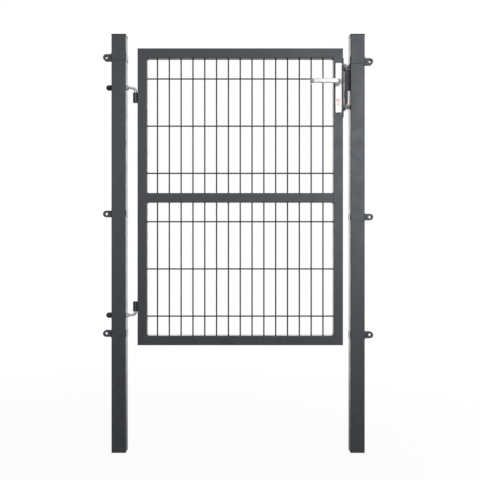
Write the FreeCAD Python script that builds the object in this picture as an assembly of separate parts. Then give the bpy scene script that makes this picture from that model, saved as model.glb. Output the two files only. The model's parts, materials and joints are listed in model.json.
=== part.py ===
"""Garden gate: a leaf of square tube and welded mesh, hung between two square posts.

X runs from the hinge post to the latch post, Y to the rear and Z up.  The origin is the
middle of the hinge post's foot.  The leaf swings to the front.  All sizes are in millimetres.
"""
import FreeCAD, Part

import math
import os

from FreeCAD import Rotation, Vector

X_AXIS = Vector(1, 0, 0)
Y_AXIS = Vector(0, 1, 0)
Z_AXIS = Vector(0, 0, 1)

# ---- leaf -------------------------------------------------------------------------------
leaf_width = 865.0
leaf_height = 1250.0
leaf_ground_clearance = 450.0
leaf_tube = 40.0
leaf_wall = 1.5
leaf_corner = 2.0
mid_rail_rise = 621.0            # middle rail's centre above the leaf's bottom
wire_diameter = 6.0
wire_weld_sink = 0.5             # how far crossing wires are pressed into each other
upright_pitch = 50.0
upright_edge_min = 30.0          # least gap between a stile and the first upright
crosswire_pitch = 200.0
crosswire_edge_min = 60.0        # least gap between a rail and the first crosswire

# ---- posts ------------------------------------------------------------------------------
hinge_gap = 48.0                 # between the hinge post and the leaf
latch_gap = 30.0                 # between the leaf and the latch post
post_side = 60.0
post_wall = 2.0
post_corner = 3.0
post_above_leaf = 54.0
cap_thickness = 4.0
cap_overhang = 1.0
cap_edge_round = 1.2
plug_leg_depth = 22.0
plug_leg_wall = 2.5
plug_fit = 0.2                   # between a plug's legs and the inside of the post

# ---- hinges -----------------------------------------------------------------------------
hinge_rod_diameter = 12.0
hinge_rod_bend = 16.0            # radius of the rod's centre line
hinge_fit = 0.08                 # radial running clearance of pin and sleeve
hinge_sleeve_wall = 4.92
hinge_sleeve_length = 42.0
hinge_sleeve_seat = 0.4          # depth of the flat that is welded to the stile
hinge_sleeve_rest = 0.3          # lower sleeve above the end of the bend
upper_hinge_drop = 184.0         # upper sleeve's top below the leaf's top
lower_hinge_rise = 141.3         # lower sleeve's bottom above the leaf's bottom
upper_bend_gap = 5.0             # upper sleeve's top below the end of the bend
hinge_pin_short = 2.0            # pin end inside the sleeve's far end
rod_hole_fit = 0.25              # radial, rod in the post's holes
thread_fit = 0.05                # radial, nut on rod and screw in nut
nut_width = 19.0
jam_nut_thickness = 7.0
outer_nut_thickness = 10.0
rod_stickout = 3.0               # rod beyond the outer nut
inner_washer_thickness = 2.0
outer_washer_thickness = 2.5
washer_radius = 12.0
nut_cap_radius = 12.5
nut_cap_wall = 1.3
nut_cap_skirt = 13.0             # straight part of the cap
nut_cap_dome = 11.5              # height of the dome over the skirt

# ---- fence clamps -----------------------------------------------------------------------
clamp_height = 28.0
clamp_thickness = 2.0
clamp_fit = 0.1
clamp_ear_gap = 16.0
clamp_ear_reach = 39.0           # ear's round end beyond the post
clamp_hole_radius = 6.0
clamp_bend_round = 1.5
hinge_clamp_drop = 36.0          # upper clamp below the leaf's top
latch_clamp_drop = 53.0
hinge_middle_clamp_drop = 68.0   # middle clamp below the middle rail's centre
latch_middle_clamp_drop = 81.0
hinge_low_clamp_rise = 48.0      # lower clamp above the leaf's bottom
latch_low_clamp_rise = 42.0

# ---- lock -------------------------------------------------------------------------------
spindle_drop = 148.0             # spindle below the leaf's top
backset = 20.0                   # spindle to the leaf's edge
cylinder_drop = 72.0             # cylinder axis below the spindle
spindle_side = 8.0
spindle_fit = 0.05
case_thickness = 15.0
case_wall = 1.5
case_back_gap = 1.0              # case to the stile's inner wall
case_above_spindle = 69.0
case_below_spindle = 109.0
case_window_gap = 0.5
forend_length = 250.0
forend_width = 24.0
forend_thickness = 4.0
forend_above_spindle = 109.0
forend_corner = 2.0
forend_screw_inset = 9.0
forend_screw_length = 14.0
small_screw_radius = 2.5
small_head_radius = 4.6
small_head_height = 2.2
small_hole_gap = 0.3
bolt_fit = 0.4                   # bolts in the forend's openings
latch_thickness = 11.0
latch_height = 42.0
latch_above_spindle = 12.0       # latch bolt's lower edge above the spindle
latch_projection = 12.5
latch_travel = 12.0
latch_length = 33.0
latch_nose = 3.0                 # thickness left at the bevel's tip
latch_bevel_start = 1.0          # bevel begins this far in front of the forend
follower_radius = 10.0
follower_boss_radius = 8.0
follower_arm = 18.0
follower_arm_width = 5.0
follower_arm_lean = 35.0         # degrees from upright towards the forend
follower_side_gap = 0.3
follower_relief = 4.0            # height cut away from the latch bolt behind its notch
notch_gap = 0.6
latch_spring_radius = 3.2
latch_spring_wire = 0.9
latch_spring_pitch = 3.1
latch_spring_room = 0.5
latch_spring_rise = 28.0         # spring's axis above the latch bolt's lower edge
dead_bolt_height = 28.0
dead_bolt_above_cylinder = 15.5
dead_bolt_length = 36.0
dead_bolt_proud = 0.6
plate_width = 27.0
plate_length = 210.0
plate_thickness = 8.0
plate_above_spindle = 85.0
plate_edge_round = 2.0
plate_corner = 5.0
plate_screw_inset = 8.0
plate_screw_head_radius = 3.6
plate_screw_head_height = 1.6
sleeve_nut_radius = 3.4
sleeve_nut_length = 16.0
plate_pocket_depth = 6.0
plate_pocket_side = 2.2          # wall left beside the pocket
plate_pocket_half_height = 15.0
spindle_hole_radius = 6.6
handle_spring_wire = 1.4
handle_spring_radius = 9.0
handle_spring_turns = 2.0
handle_spring_space = 0.4        # between turns
lever_reach = 80.0               # lever's outside face from the leaf's middle plane
lever_length = 123.0             # spindle to tip
lever_arm_height = 20.0
lever_arm_thickness = 10.0
lever_arm_round = 4.6
lever_bend = 15.0
lever_return = 30.0              # tip's return towards the leaf
lever_hub_radius = 11.0
lever_hub_length = 15.0
lever_gap = 0.3                  # hub to cover plate
set_screw_radius = 2.5
set_screw_depth = 1.0            # its end below the hub's surface
collar_edge_round = 2.0

# ---- profile cylinder -------------------------------------------------------------------
cylinder_radius = 8.5
cylinder_leg_width = 10.0
cylinder_height = 33.0
cylinder_proud = 3.0             # beyond each cover plate
cylinder_hole_gap = 0.3
plug_radius = 6.5
plug_running_fit = 0.05
key_slot_width = 1.8
key_slot_height = 8.0
key_slot_depth = 22.0
cam_width = 9.6
cam_slot_gap = 0.3
cam_ring_radius = 8.0
cam_nose_radius = 14.3
cam_nose_width = 6.0
cylinder_screw_drop = 20.0       # fixing screw below the cylinder's axis
cylinder_screw_length = 32.0

# ---- strike on the latch post -----------------------------------------------------------
strike_gap = 4.5                 # forend to strike
strike_web = 3.0
strike_depth = 13.0
strike_width = 28.0
strike_flange = 2.5
strike_length = 195.0
strike_above_spindle = 85.5
strike_tab = 26.0                # flat tab at each end
strike_slot_gap = 3.0
strike_screw_inset = 13.0
strike_screw_radius = 4.0
strike_screw_head_radius = 8.0
strike_screw_head_height = 3.6
strike_screw_length = 34.0
socket_radius = 2.6
socket_depth = 2.0
strike_bush_radius = 7.5
strike_bush_gap = 0.3
strike_nut_width = 24.0
strike_nut_thickness = 5.0
strike_nut_step = 9.0            # first lock nut to second
rivet_flange_radius = 6.5
rivet_flange_thickness = 1.5
rivet_body_radius = 5.5
rivet_body_length = 15.0
pocket_wall = 2.0
pocket_top_above_spindle = 60.0
pocket_height = 85.0
stop_ear_thickness = 3.0
stop_ear_reach = 4.5             # how far the ear reaches behind the leaf
buffer_thickness = 3.7
buffer_gap = 0.3
buffer_width = 12.0
buffer_inset = 1.5

# ---- places worked out from the sizes ---------------------------------------------------
half_post = post_side / 2
hinge_post_outer = -half_post
hinge_post_inner = half_post
leaf_left = hinge_post_inner + hinge_gap
leaf_right = leaf_left + leaf_width
latch_post_inner = leaf_right + latch_gap
leaf_bottom = leaf_ground_clearance
leaf_top = leaf_bottom + leaf_height
post_bottom = cap_thickness
post_top = leaf_top + post_above_leaf
half_leaf = leaf_tube / 2
mid_rail_z = leaf_bottom + mid_rail_rise
clear_left = leaf_left + leaf_tube
clear_right = leaf_right - leaf_tube
wire_radius = wire_diameter / 2

rod_radius = hinge_rod_diameter / 2
sleeve_bore = rod_radius + hinge_fit
sleeve_radius = sleeve_bore + hinge_sleeve_wall
pivot_x = leaf_left - sleeve_radius + hinge_sleeve_seat
upper_sleeve_top = leaf_top - upper_hinge_drop
lower_sleeve_bottom = leaf_bottom + lower_hinge_rise
upper_rod_z = upper_sleeve_top + upper_bend_gap + hinge_rod_bend
lower_rod_z = lower_sleeve_bottom - hinge_sleeve_rest - hinge_rod_bend
outer_washer_x = hinge_post_outer - outer_washer_thickness
outer_nut_x = outer_washer_x - outer_nut_thickness
rod_end_x = outer_nut_x - rod_stickout
inner_nut_x = hinge_post_inner + inner_washer_thickness

spindle_x = leaf_right - backset
spindle_z = leaf_top - spindle_drop
cylinder_z = spindle_z - cylinder_drop
case_back = clear_right + leaf_wall + case_back_gap
case_top = spindle_z + case_above_spindle
case_bottom = spindle_z - case_below_spindle
half_case = case_thickness / 2
forend_face = leaf_right + forend_thickness
forend_top = spindle_z + forend_above_spindle
forend_bottom = forend_top - forend_length
half_bolt = latch_thickness / 2
latch_bottom = spindle_z + latch_above_spindle
latch_top = latch_bottom + latch_height
latch_tip = forend_face + latch_projection
latch_back = latch_tip - latch_length
latch_spring_z = latch_bottom + latch_spring_rise
dead_bolt_bottom = cylinder_z + dead_bolt_above_cylinder
dead_bolt_top = dead_bolt_bottom + dead_bolt_height
dead_bolt_face = forend_face + dead_bolt_proud
dead_bolt_back = dead_bolt_face - dead_bolt_length
plate_face = half_leaf + plate_thickness
plate_top = spindle_z + plate_above_spindle
plate_bottom = plate_top - plate_length
plate_screw_heights = [plate_top - plate_screw_inset, plate_bottom + plate_screw_inset]
lever_arm_y = lever_reach - lever_arm_thickness / 2
cylinder_end = plate_face + cylinder_proud
cylinder_bottom = cylinder_z + cylinder_radius - cylinder_height
cylinder_screw_z = cylinder_z - cylinder_screw_drop

strike_face = forend_face + strike_gap
strike_back = strike_face + strike_depth
half_strike = strike_width / 2
strike_top = spindle_z + strike_above_spindle
strike_bottom = strike_top - strike_length
strike_screw_heights = [strike_top - strike_screw_inset, strike_bottom + strike_screw_inset]
pocket_top = spindle_z + pocket_top_above_spindle
pocket_bottom = pocket_top - pocket_height
buffer_front = half_leaf + buffer_gap
ear_front = buffer_front + buffer_thickness
ear_tip = leaf_right - stop_ear_reach


# ---- shapes -----------------------------------------------------------------------------
hair = 0.01                      # places closer than this count as one


def block(x0, x1, y0, y1, z0, z1):
    """Box between two opposite corners."""
    return Part.makeBox(x1 - x0, y1 - y0, z1 - z0, Vector(x0, y0, z0))


def bar_x(x0, x1, y, z, radius):
    """Round bar along X."""
    return Part.makeCylinder(radius, x1 - x0, Vector(x0, y, z), X_AXIS)


def bar_y(x, y0, y1, z, radius):
    """Round bar along Y."""
    return Part.makeCylinder(radius, y1 - y0, Vector(x, y0, z), Y_AXIS)


def bar_z(x, y, z0, z1, radius):
    """Round bar along Z."""
    return Part.makeCylinder(radius, z1 - z0, Vector(x, y, z0), Z_AXIS)


def edges_along(shape, axis):
    """The straight edges of a shape that run along an axis."""
    found = []
    for edge in shape.Edges:
        if len(edge.Vertexes) != 2:
            continue
        run = edge.Vertexes[1].Point.sub(edge.Vertexes[0].Point)
        if run.Length > 0 and run.cross(axis).Length < hair * run.Length:
            found.append(edge)
    return found


def round_along(shape, axis, radius):
    """Round every edge that runs along an axis."""
    return shape.makeFillet(radius, edges_along(shape, axis))


def edges_near(shape, axis, places):
    """Edges along an axis whose middles lie at the given X and Y places."""
    found = []
    for edge in edges_along(shape, axis):
        middle = edge.CenterOfMass
        for x, y in places:
            if abs(middle.x - x) < hair and abs(middle.y - y) < hair:
                found.append(edge)
    return found


def square_tube(corners, axis, wall, corner_radius):
    """Square tube inside a box of corners, running along an axis and open at both ends."""
    x0, x1, y0, y1, z0, z1 = corners
    outside = round_along(block(x0, x1, y0, y1, z0, z1), axis, corner_radius)
    across_x = wall * (1 - axis.x)
    across_y = wall * (1 - axis.y)
    across_z = wall * (1 - axis.z)
    hollow = block(x0 + across_x, x1 - across_x, y0 + across_y, y1 - across_y,
                   z0 + across_z, z1 - across_z)
    return outside.cut(round_along(hollow, axis, corner_radius - wall + hair))


def hexagon_x(x0, x1, y, z, width):
    """Hexagonal bar along X, with its flats level at top and bottom."""
    corner_distance = width / math.sqrt(3)
    points = []
    for step in range(7):
        angle = math.radians(60 * step)
        points.append(Vector(x0, y + corner_distance * math.cos(angle),
                             z + corner_distance * math.sin(angle)))
    return Part.Face(Part.makePolygon(points)).extrude(Vector(x1 - x0, 0, 0))


def prism_xz(points, y0, y1):
    """Prism along Y over an outline of X and Z points."""
    outline = [Vector(x, y0, z) for x, z in points]
    outline.append(outline[0])
    return Part.Face(Part.makePolygon(outline)).extrude(Vector(0, y1 - y0, 0))


def bent_path(points, bend_radius):
    """Wire of straight runs through points, with a tangent arc at each inner point."""
    edges = []
    start = points[0]
    for before, corner, after in zip(points, points[1:], points[2:]):
        arriving = before.sub(corner).normalize()
        leaving = after.sub(corner).normalize()
        half_turn = arriving.getAngle(leaving) / 2
        setback = bend_radius / math.tan(half_turn)
        inwards = arriving.add(leaving).normalize()
        reach = bend_radius / math.sin(half_turn)
        arc_start = corner.add(arriving.multiply(setback))
        arc_end = corner.add(leaving.multiply(setback))
        arc_middle = corner.add(inwards.multiply(reach - bend_radius))
        edges.append(Part.LineSegment(start, arc_start).toShape())
        edges.append(Part.Arc(arc_start, arc_middle, arc_end).toShape())
        start = arc_end
    edges.append(Part.LineSegment(start, points[-1]).toShape())
    return Part.Wire(edges)


def swept(path, section):
    """Solid swept along a path by a closed section."""
    return path.makePipeShell([section], True, False)


def rounded_rectangle(centre, width, height, radius):
    """Outline across Y: width along X, height along Z, with round corners."""
    outline = block(centre.x - width / 2, centre.x + width / 2, centre.y, centre.y + 1,
                    centre.z - height / 2, centre.z + height / 2)
    rounded = round_along(outline, Y_AXIS, radius)
    for face in rounded.Faces:
        if abs(face.CenterOfMass.y - centre.y) < hair:
            return face.OuterWire


def coil(radius, wire_diameter_, pitch, height):
    """Coil spring that winds up along Z from the origin."""
    path = Part.Wire(Part.makeHelix(pitch, height, radius))
    along = Vector(0, radius, pitch / (2 * math.pi))
    ring = Part.Wire(Part.makeCircle(wire_diameter_ / 2, Vector(radius, 0, 0), along))
    return path.makePipeShell([ring], True, True)


def mirrored_y(shape):
    """The same shape on the other side of the leaf's middle plane."""
    return shape.mirror(Vector(0, 0, 0), Y_AXIS)


def group(shapes):
    """Separate solids that share one node."""
    return Part.makeCompound(shapes)


def evenly_spaced(low, high, pitch, edge_min):
    """Places at one pitch, centred between two limits."""
    spaces = int((high - low - 2 * edge_min) / pitch)
    first = (low + high - spaces * pitch) / 2
    return [first + pitch * step for step in range(spaces + 1)]


# ---- posts ------------------------------------------------------------------------------
def post_tube(x0):
    corners = (x0, x0 + post_side, -half_post, half_post, post_bottom, post_top)
    return square_tube(corners, Z_AXIS, post_wall, post_corner)


def hinge_post_tube():
    tube = post_tube(hinge_post_outer)
    for height in (upper_rod_z, lower_rod_z):
        hole = bar_x(hinge_post_outer - 1, hinge_post_inner + 1, 0, height,
                     rod_radius + rod_hole_fit)
        tube = tube.cut(hole)
    return tube


def latch_post_tube():
    tube = post_tube(latch_post_inner)
    for height in strike_screw_heights:
        hole = bar_x(latch_post_inner - 1, latch_post_inner + post_wall + 1, 0, height,
                     rivet_body_radius + small_hole_gap)
        tube = tube.cut(hole)
    return tube


def plug_legs(x0, z0, z1):
    """Square ring that grips the inside of a post."""
    inset = post_wall + plug_fit
    side = half_post - inset
    outside = block(x0 + inset, x0 + post_side - inset, -side, side, z0, z1)
    outside = round_along(outside, Z_AXIS, post_corner - post_wall)
    inner = side - plug_leg_wall
    middle = x0 + half_post
    return outside.cut(block(middle - inner, middle + inner, -inner, inner, z0 - 1, z1 + 1))


def post_cap(x0):
    reach = half_post + cap_overhang
    middle = x0 + half_post
    lid = block(middle - reach, middle + reach, -reach, reach, post_top, post_top + cap_thickness)
    lid = round_along(lid, Z_AXIS, post_corner + cap_overhang)
    rim = [e for e in lid.Edges if e.BoundBox.ZMin > post_top + cap_thickness - hair]
    lid = lid.makeFillet(cap_edge_round, rim)
    return lid.fuse(plug_legs(x0, post_top - plug_leg_depth, post_top)).removeSplitter()


def foot_plug(x0):
    sole = block(x0, x0 + post_side, -half_post, half_post, 0, post_bottom)
    sole = round_along(sole, Z_AXIS, post_corner)
    legs = plug_legs(x0, post_bottom, post_bottom + plug_leg_depth)
    return sole.fuse(legs).removeSplitter()


# ---- fence clamps -----------------------------------------------------------------------
def fence_clamp(post_x, outwards, height):
    """Strip folded round a post, with two parallel ears on its outer side.

    outwards is -1 on the hinge post and 1 on the latch post.
    """
    low = height - clamp_height / 2
    high = height + clamp_height / 2
    inner = half_post + clamp_fit
    outer = inner + clamp_thickness
    half_gap = clamp_ear_gap / 2
    reach = half_post + clamp_ear_reach
    ear_centre = reach - clamp_height / 2
    band = round_along(block(-outer, outer, -outer, outer, low, high), Z_AXIS,
                       post_corner + clamp_thickness)
    band = band.cut(round_along(block(-inner, inner, -inner, inner, low, high), Z_AXIS,
                                post_corner))
    band = band.cut(block(inner - 1, outer + 1, -half_gap, half_gap, low, high))
    for side in (-1, 1):
        face = side * half_gap
        back = side * (half_gap + clamp_thickness)
        y0 = min(face, back)
        y1 = max(face, back)
        ear = block(inner, ear_centre, y0, y1, low, high)
        ear = ear.fuse(bar_y(ear_centre, y0, y1, height, clamp_height / 2))
        band = band.fuse(ear)
    band = band.removeSplitter()
    fold = half_gap + clamp_thickness
    folds = edges_near(band, Z_AXIS, [(outer, fold), (outer, -fold),
                                      (inner, half_gap), (inner, -half_gap)])
    band = band.makeFillet(clamp_bend_round, folds)
    band = band.cut(bar_y(ear_centre, -outer, outer, height, clamp_hole_radius))
    if outwards < 0:
        band = band.mirror(Vector(0, 0, 0), X_AXIS)
    band.translate(Vector(post_x + half_post, 0, 0))
    return band


# ---- hinges -----------------------------------------------------------------------------
def hinge_rod(height, upwards):
    """Threaded rod through the post, bent up or down to make the pivot pin."""
    if upwards:
        pin_end = lower_sleeve_bottom + hinge_sleeve_length - hinge_pin_short
    else:
        pin_end = upper_sleeve_top - hinge_sleeve_length + hinge_pin_short
    start = Vector(rod_end_x, 0, height)
    path = bent_path([start, Vector(pivot_x, 0, height), Vector(pivot_x, 0, pin_end)],
                     hinge_rod_bend)
    section = Part.Wire(Part.makeCircle(rod_radius, start, X_AXIS))
    return swept(path, section)


def hinge_sleeve(bottom):
    """Pivot sleeve with a flat seat against the hinge stile."""
    top = bottom + hinge_sleeve_length
    sleeve = bar_z(pivot_x, 0, bottom, top, sleeve_radius)
    sleeve = sleeve.cut(bar_z(pivot_x, 0, bottom - 1, top + 1, sleeve_bore))
    return sleeve.cut(block(leaf_left, leaf_left + sleeve_radius, -sleeve_radius, sleeve_radius,
                            bottom - 1, top + 1))


def rod_washer(x0, thickness, height):
    washer = bar_x(x0, x0 + thickness, 0, height, washer_radius)
    return washer.cut(bar_x(x0 - 1, x0 + thickness + 1, 0, height, rod_radius + rod_hole_fit))


def rod_nut(x0, thickness, height):
    nut = hexagon_x(x0, x0 + thickness, 0, height, nut_width)
    return nut.cut(bar_x(x0 - 1, x0 + thickness + 1, 0, height, rod_radius + thread_fit))


def domed_bar(x0, radius, skirt, dome_height, height):
    """Round bar from x0 towards -X that ends in a dome."""
    shoulder = x0 - skirt
    apex = shoulder - dome_height
    ball = (radius ** 2 + dome_height ** 2) / (2 * dome_height)
    centre = apex + ball
    shoulder_angle = math.atan2(radius, shoulder - centre)
    half_way = (shoulder_angle + math.pi) / 2
    middle = Vector(centre + ball * math.cos(half_way), 0, ball * math.sin(half_way))
    profile = Part.Wire([
        Part.makeLine(Vector(x0, 0, 0), Vector(x0, 0, radius)),
        Part.makeLine(Vector(x0, 0, radius), Vector(shoulder, 0, radius)),
        Part.Arc(Vector(shoulder, 0, radius), middle, Vector(apex, 0, 0)).toShape(),
        Part.makeLine(Vector(apex, 0, 0), Vector(x0, 0, 0)),
    ])
    bar = Part.Face(profile).revolve(Vector(0, 0, 0), X_AXIS, 360)
    bar.translate(Vector(0, 0, height))
    return bar


def nut_cap(height):
    """Domed cap that covers the outer nut and the rod's end."""
    outside = domed_bar(outer_washer_x, nut_cap_radius, nut_cap_skirt, nut_cap_dome, height)
    inside = domed_bar(outer_washer_x, nut_cap_radius - nut_cap_wall, nut_cap_skirt,
                       nut_cap_dome - nut_cap_wall, height)
    return outside.cut(inside)


# ---- leaf -------------------------------------------------------------------------------
def mitred(tube, points):
    """Tube trimmed to the outline of its mitred shape."""
    return tube.common(prism_xz(points, -leaf_tube, leaf_tube))


def lock_cut_outs():
    """Everything that is cut from the latch stile for the lock."""
    cuts = [
        block(leaf_right - leaf_wall - 1, leaf_right + 1, -half_case - case_window_gap,
              half_case + case_window_gap, case_bottom - case_window_gap,
              case_top + case_window_gap),
        bar_y(spindle_x, -leaf_tube, leaf_tube, spindle_z, follower_boss_radius + 1),
        euro_profile(-leaf_tube, leaf_tube, 2 * cylinder_hole_gap),
    ]
    for height in plate_screw_heights:
        cuts.append(bar_y(spindle_x, -leaf_tube, leaf_tube, height,
                          sleeve_nut_radius + small_hole_gap))
    for height in (forend_top - forend_screw_inset, forend_bottom + forend_screw_inset):
        cuts.append(bar_x(leaf_right - leaf_wall - 1, leaf_right + 1, 0, height,
                          small_screw_radius + thread_fit))
    return cuts


def leaf_stile(x0, mitre_side):
    """Upright of the leaf; mitre_side is 1 where its inner face looks towards +X."""
    x1 = x0 + leaf_tube
    tube = square_tube((x0, x1, -half_leaf, half_leaf, leaf_bottom, leaf_top), Z_AXIS,
                       leaf_wall, leaf_corner)
    if mitre_side > 0:
        outer, inner = x0, x1
    else:
        outer, inner = x1, x0
    return mitred(tube, [(outer, leaf_bottom), (inner, leaf_bottom + leaf_tube),
                         (inner, leaf_top - leaf_tube), (outer, leaf_top)])


def leaf_latch_stile():
    stile = leaf_stile(clear_right, -1)
    for cut in lock_cut_outs():
        stile = stile.cut(cut)
    return stile


def leaf_end_rail(outer, inner):
    """Top or bottom rail; outer and inner are the heights of its two faces."""
    tube = square_tube((leaf_left, leaf_right, -half_leaf, half_leaf, min(outer, inner),
                        max(outer, inner)), X_AXIS, leaf_wall, leaf_corner)
    return mitred(tube, [(leaf_left, outer), (clear_left, inner), (clear_right, inner),
                         (leaf_right, outer)])


def leaf_mid_rail():
    return square_tube((clear_left, clear_right, -half_leaf, half_leaf, mid_rail_z - half_leaf,
                        mid_rail_z + half_leaf), X_AXIS, leaf_wall, leaf_corner)


def mesh_uprights(low, high):
    """Upright wires of one mesh field."""
    y = -wire_radius + wire_weld_sink / 2
    places = evenly_spaced(clear_left, clear_right, upright_pitch, upright_edge_min)
    return group([bar_z(x, y, low, high, wire_radius) for x in places])


def mesh_crosswires(low, high):
    """Level wires of one mesh field, behind its uprights."""
    y = wire_radius - wire_weld_sink / 2
    places = evenly_spaced(low, high, crosswire_pitch, crosswire_edge_min)
    return group([bar_x(clear_left, clear_right, y, z, wire_radius) for z in places])


# ---- lock -------------------------------------------------------------------------------
def euro_profile(y0, y1, gap):
    """Profile cylinder's section along Y, grown by a gap on every side."""
    bottom = cylinder_bottom - gap
    leg_radius = cylinder_leg_width / 2 + gap
    solid = bar_y(spindle_x, y0, y1, cylinder_z, cylinder_radius + gap)
    leg = block(spindle_x - leg_radius, spindle_x + leg_radius, y0, y1, bottom + leg_radius,
                cylinder_z)
    foot = bar_y(spindle_x, y0, y1, bottom + leg_radius, leg_radius)
    return solid.fuse(leg).fuse(foot).removeSplitter()


def square_bar_y(y0, y1, side):
    half = side / 2
    return block(spindle_x - half, spindle_x + half, y0, y1, spindle_z - half, spindle_z + half)


def lock_case():
    """Folded case, open towards the forend."""
    case = block(case_back, leaf_right, -half_case, half_case, case_bottom, case_top)
    room = block(case_back + case_wall, leaf_right + 1, case_wall - half_case,
                 half_case - case_wall, case_bottom + case_wall, case_top - case_wall)
    case = case.cut(room)
    case = case.cut(bar_y(spindle_x, -case_thickness, case_thickness, spindle_z,
                          follower_boss_radius + hinge_fit))
    return case.cut(euro_profile(-case_thickness, case_thickness, cylinder_hole_gap))


def bolt_opening(x0, x1, low, high, gap):
    """Opening for a latch or dead bolt in a plate across X."""
    return block(x0, x1, -half_bolt - gap, half_bolt + gap, low - gap, high + gap)


def lock_forend():
    half_width = forend_width / 2
    plate = block(leaf_right, forend_face, -half_width, half_width, forend_bottom, forend_top)
    plate = round_along(plate, X_AXIS, forend_corner)
    plate = plate.cut(bolt_opening(leaf_right - 1, forend_face + 1, latch_bottom, latch_top,
                                   bolt_fit))
    plate = plate.cut(bolt_opening(leaf_right - 1, forend_face + 1, dead_bolt_bottom,
                                   dead_bolt_top, bolt_fit))
    for screw in forend_screws_at(small_hole_gap):
        plate = plate.cut(screw)
    return plate


def countersunk_screw_x(height, length, gap):
    """Screw along -X with its head flush in the forend."""
    shank = bar_x(forend_face - length, forend_face, 0, height, small_screw_radius + gap)
    head = Part.makeCone(small_screw_radius + gap, small_head_radius + gap, small_head_height,
                         Vector(forend_face - small_head_height, 0, height), X_AXIS)
    return shank.fuse(head)


def forend_screws_at(gap):
    """The forend's end screws and the cylinder's fixing screw, or the holes for them."""
    return [
        countersunk_screw_x(forend_top - forend_screw_inset, forend_screw_length, gap),
        countersunk_screw_x(forend_bottom + forend_screw_inset, forend_screw_length, gap),
        countersunk_screw_x(cylinder_screw_z, cylinder_screw_length, gap),
    ]


def latch_bolt():
    """Spring bolt with a bevelled nose, a notch for the follower and a bore for its spring."""
    bolt = block(latch_back, latch_tip, -half_bolt, half_bolt, latch_bottom, latch_top)
    bevel_start = forend_face + latch_bevel_start
    wedge = Part.Face(Part.makePolygon([
        Vector(bevel_start, half_bolt, latch_bottom - 1),
        Vector(latch_tip + 1, half_bolt, latch_bottom - 1),
        Vector(latch_tip + 1, latch_nose - half_bolt, latch_bottom - 1),
        Vector(latch_tip, latch_nose - half_bolt, latch_bottom - 1),
        Vector(bevel_start, half_bolt, latch_bottom - 1),
    ])).extrude(Vector(0, 0, latch_height + 2))
    bolt = bolt.cut(wedge)
    lean = math.radians(follower_arm_lean)
    tip_x = spindle_x + follower_arm * math.sin(lean)
    tip_radius = follower_arm_width / 2
    notch_top = spindle_z + follower_arm + tip_radius + notch_gap
    bolt = bolt.cut(block(tip_x - tip_radius - notch_gap, tip_x + tip_radius + 2 * notch_gap,
                          -latch_thickness, latch_thickness, latch_bottom - 1, notch_top))
    bolt = bolt.cut(block(latch_back - 1, tip_x, -latch_thickness, latch_thickness,
                          latch_bottom - 1, latch_bottom + follower_relief))
    bore_radius = latch_spring_radius + latch_spring_wire / 2 + latch_spring_room
    return bolt.cut(bar_x(latch_back - 1, latch_back + latch_travel, 0, latch_spring_z,
                          bore_radius))


def latch_spring():
    """Coil between the case's back and the bottom of the latch bolt's bore."""
    low = case_back + case_wall + latch_spring_room + latch_spring_wire / 2
    high = latch_back + latch_travel - latch_spring_room - latch_spring_wire / 2
    spring = coil(latch_spring_radius, latch_spring_wire, latch_spring_pitch, high - low)
    spring.Placement = FreeCAD.Placement(Vector(low, 0, latch_spring_z),
                                         Rotation(Z_AXIS, X_AXIS))
    return spring


def follower():
    """Hub on the spindle with the arm that draws the latch bolt."""
    half_room = half_case - case_wall
    half_width = half_room - follower_side_gap
    hub = bar_y(spindle_x, -half_width, half_width, spindle_z, follower_radius)
    hub = hub.fuse(bar_y(spindle_x, -half_case, half_case, spindle_z, follower_boss_radius))
    half_arm = follower_arm_width / 2
    arm = block(spindle_x - half_arm, spindle_x + half_arm, -half_width, half_width, spindle_z,
                spindle_z + follower_arm)
    arm = arm.fuse(bar_y(spindle_x, -half_width, half_width, spindle_z + follower_arm, half_arm))
    arm.rotate(Vector(spindle_x, 0, spindle_z), Y_AXIS, follower_arm_lean)
    whole = hub.fuse(arm).removeSplitter()
    return whole.cut(square_bar_y(-case_thickness, case_thickness,
                                  spindle_side + 2 * spindle_fit))


def dead_bolt():
    return block(dead_bolt_back, dead_bolt_face, -half_bolt, half_bolt, dead_bolt_bottom,
                 dead_bolt_top)


def cover_plate():
    """Front cover plate, with a pocket behind it for the handle's return spring."""
    half_width = plate_width / 2
    plate = block(spindle_x - half_width, spindle_x + half_width, -plate_face, -half_leaf,
                  plate_bottom, plate_top)
    plate = round_along(plate, Y_AXIS, plate_corner)
    rim = [e for e in plate.Edges if e.BoundBox.YMax < -plate_face + hair]
    plate = plate.makeFillet(plate_edge_round, rim)
    pocket_half = half_width - plate_pocket_side
    pocket = block(spindle_x - pocket_half, spindle_x + pocket_half,
                   -half_leaf - plate_pocket_depth, -half_leaf + 1,
                   spindle_z - plate_pocket_half_height, spindle_z + plate_pocket_half_height)
    plate = plate.cut(pocket)
    plate = plate.cut(bar_y(spindle_x, -plate_face - 1, -half_leaf, spindle_z,
                            spindle_hole_radius))
    plate = plate.cut(euro_profile(-plate_face - 1, -half_leaf + 1, cylinder_hole_gap))
    for height in plate_screw_heights:
        head_seat = plate_face - plate_screw_head_height
        plate = plate.cut(bar_y(spindle_x, -plate_face - 1, -half_leaf + 1, height,
                                small_screw_radius + small_hole_gap))
        plate = plate.cut(bar_y(spindle_x, -plate_face - 1, -head_seat, height,
                                plate_screw_head_radius + small_hole_gap))
    return plate


def rear_cover_plate():
    """Rear cover plate: as the front one, with wider holes for the sleeve nuts."""
    plate = mirrored_y(cover_plate())
    for height in plate_screw_heights:
        plate = plate.cut(bar_y(spindle_x, half_leaf - 1, plate_face + 1, height,
                                sleeve_nut_radius + small_hole_gap))
    return plate


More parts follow.
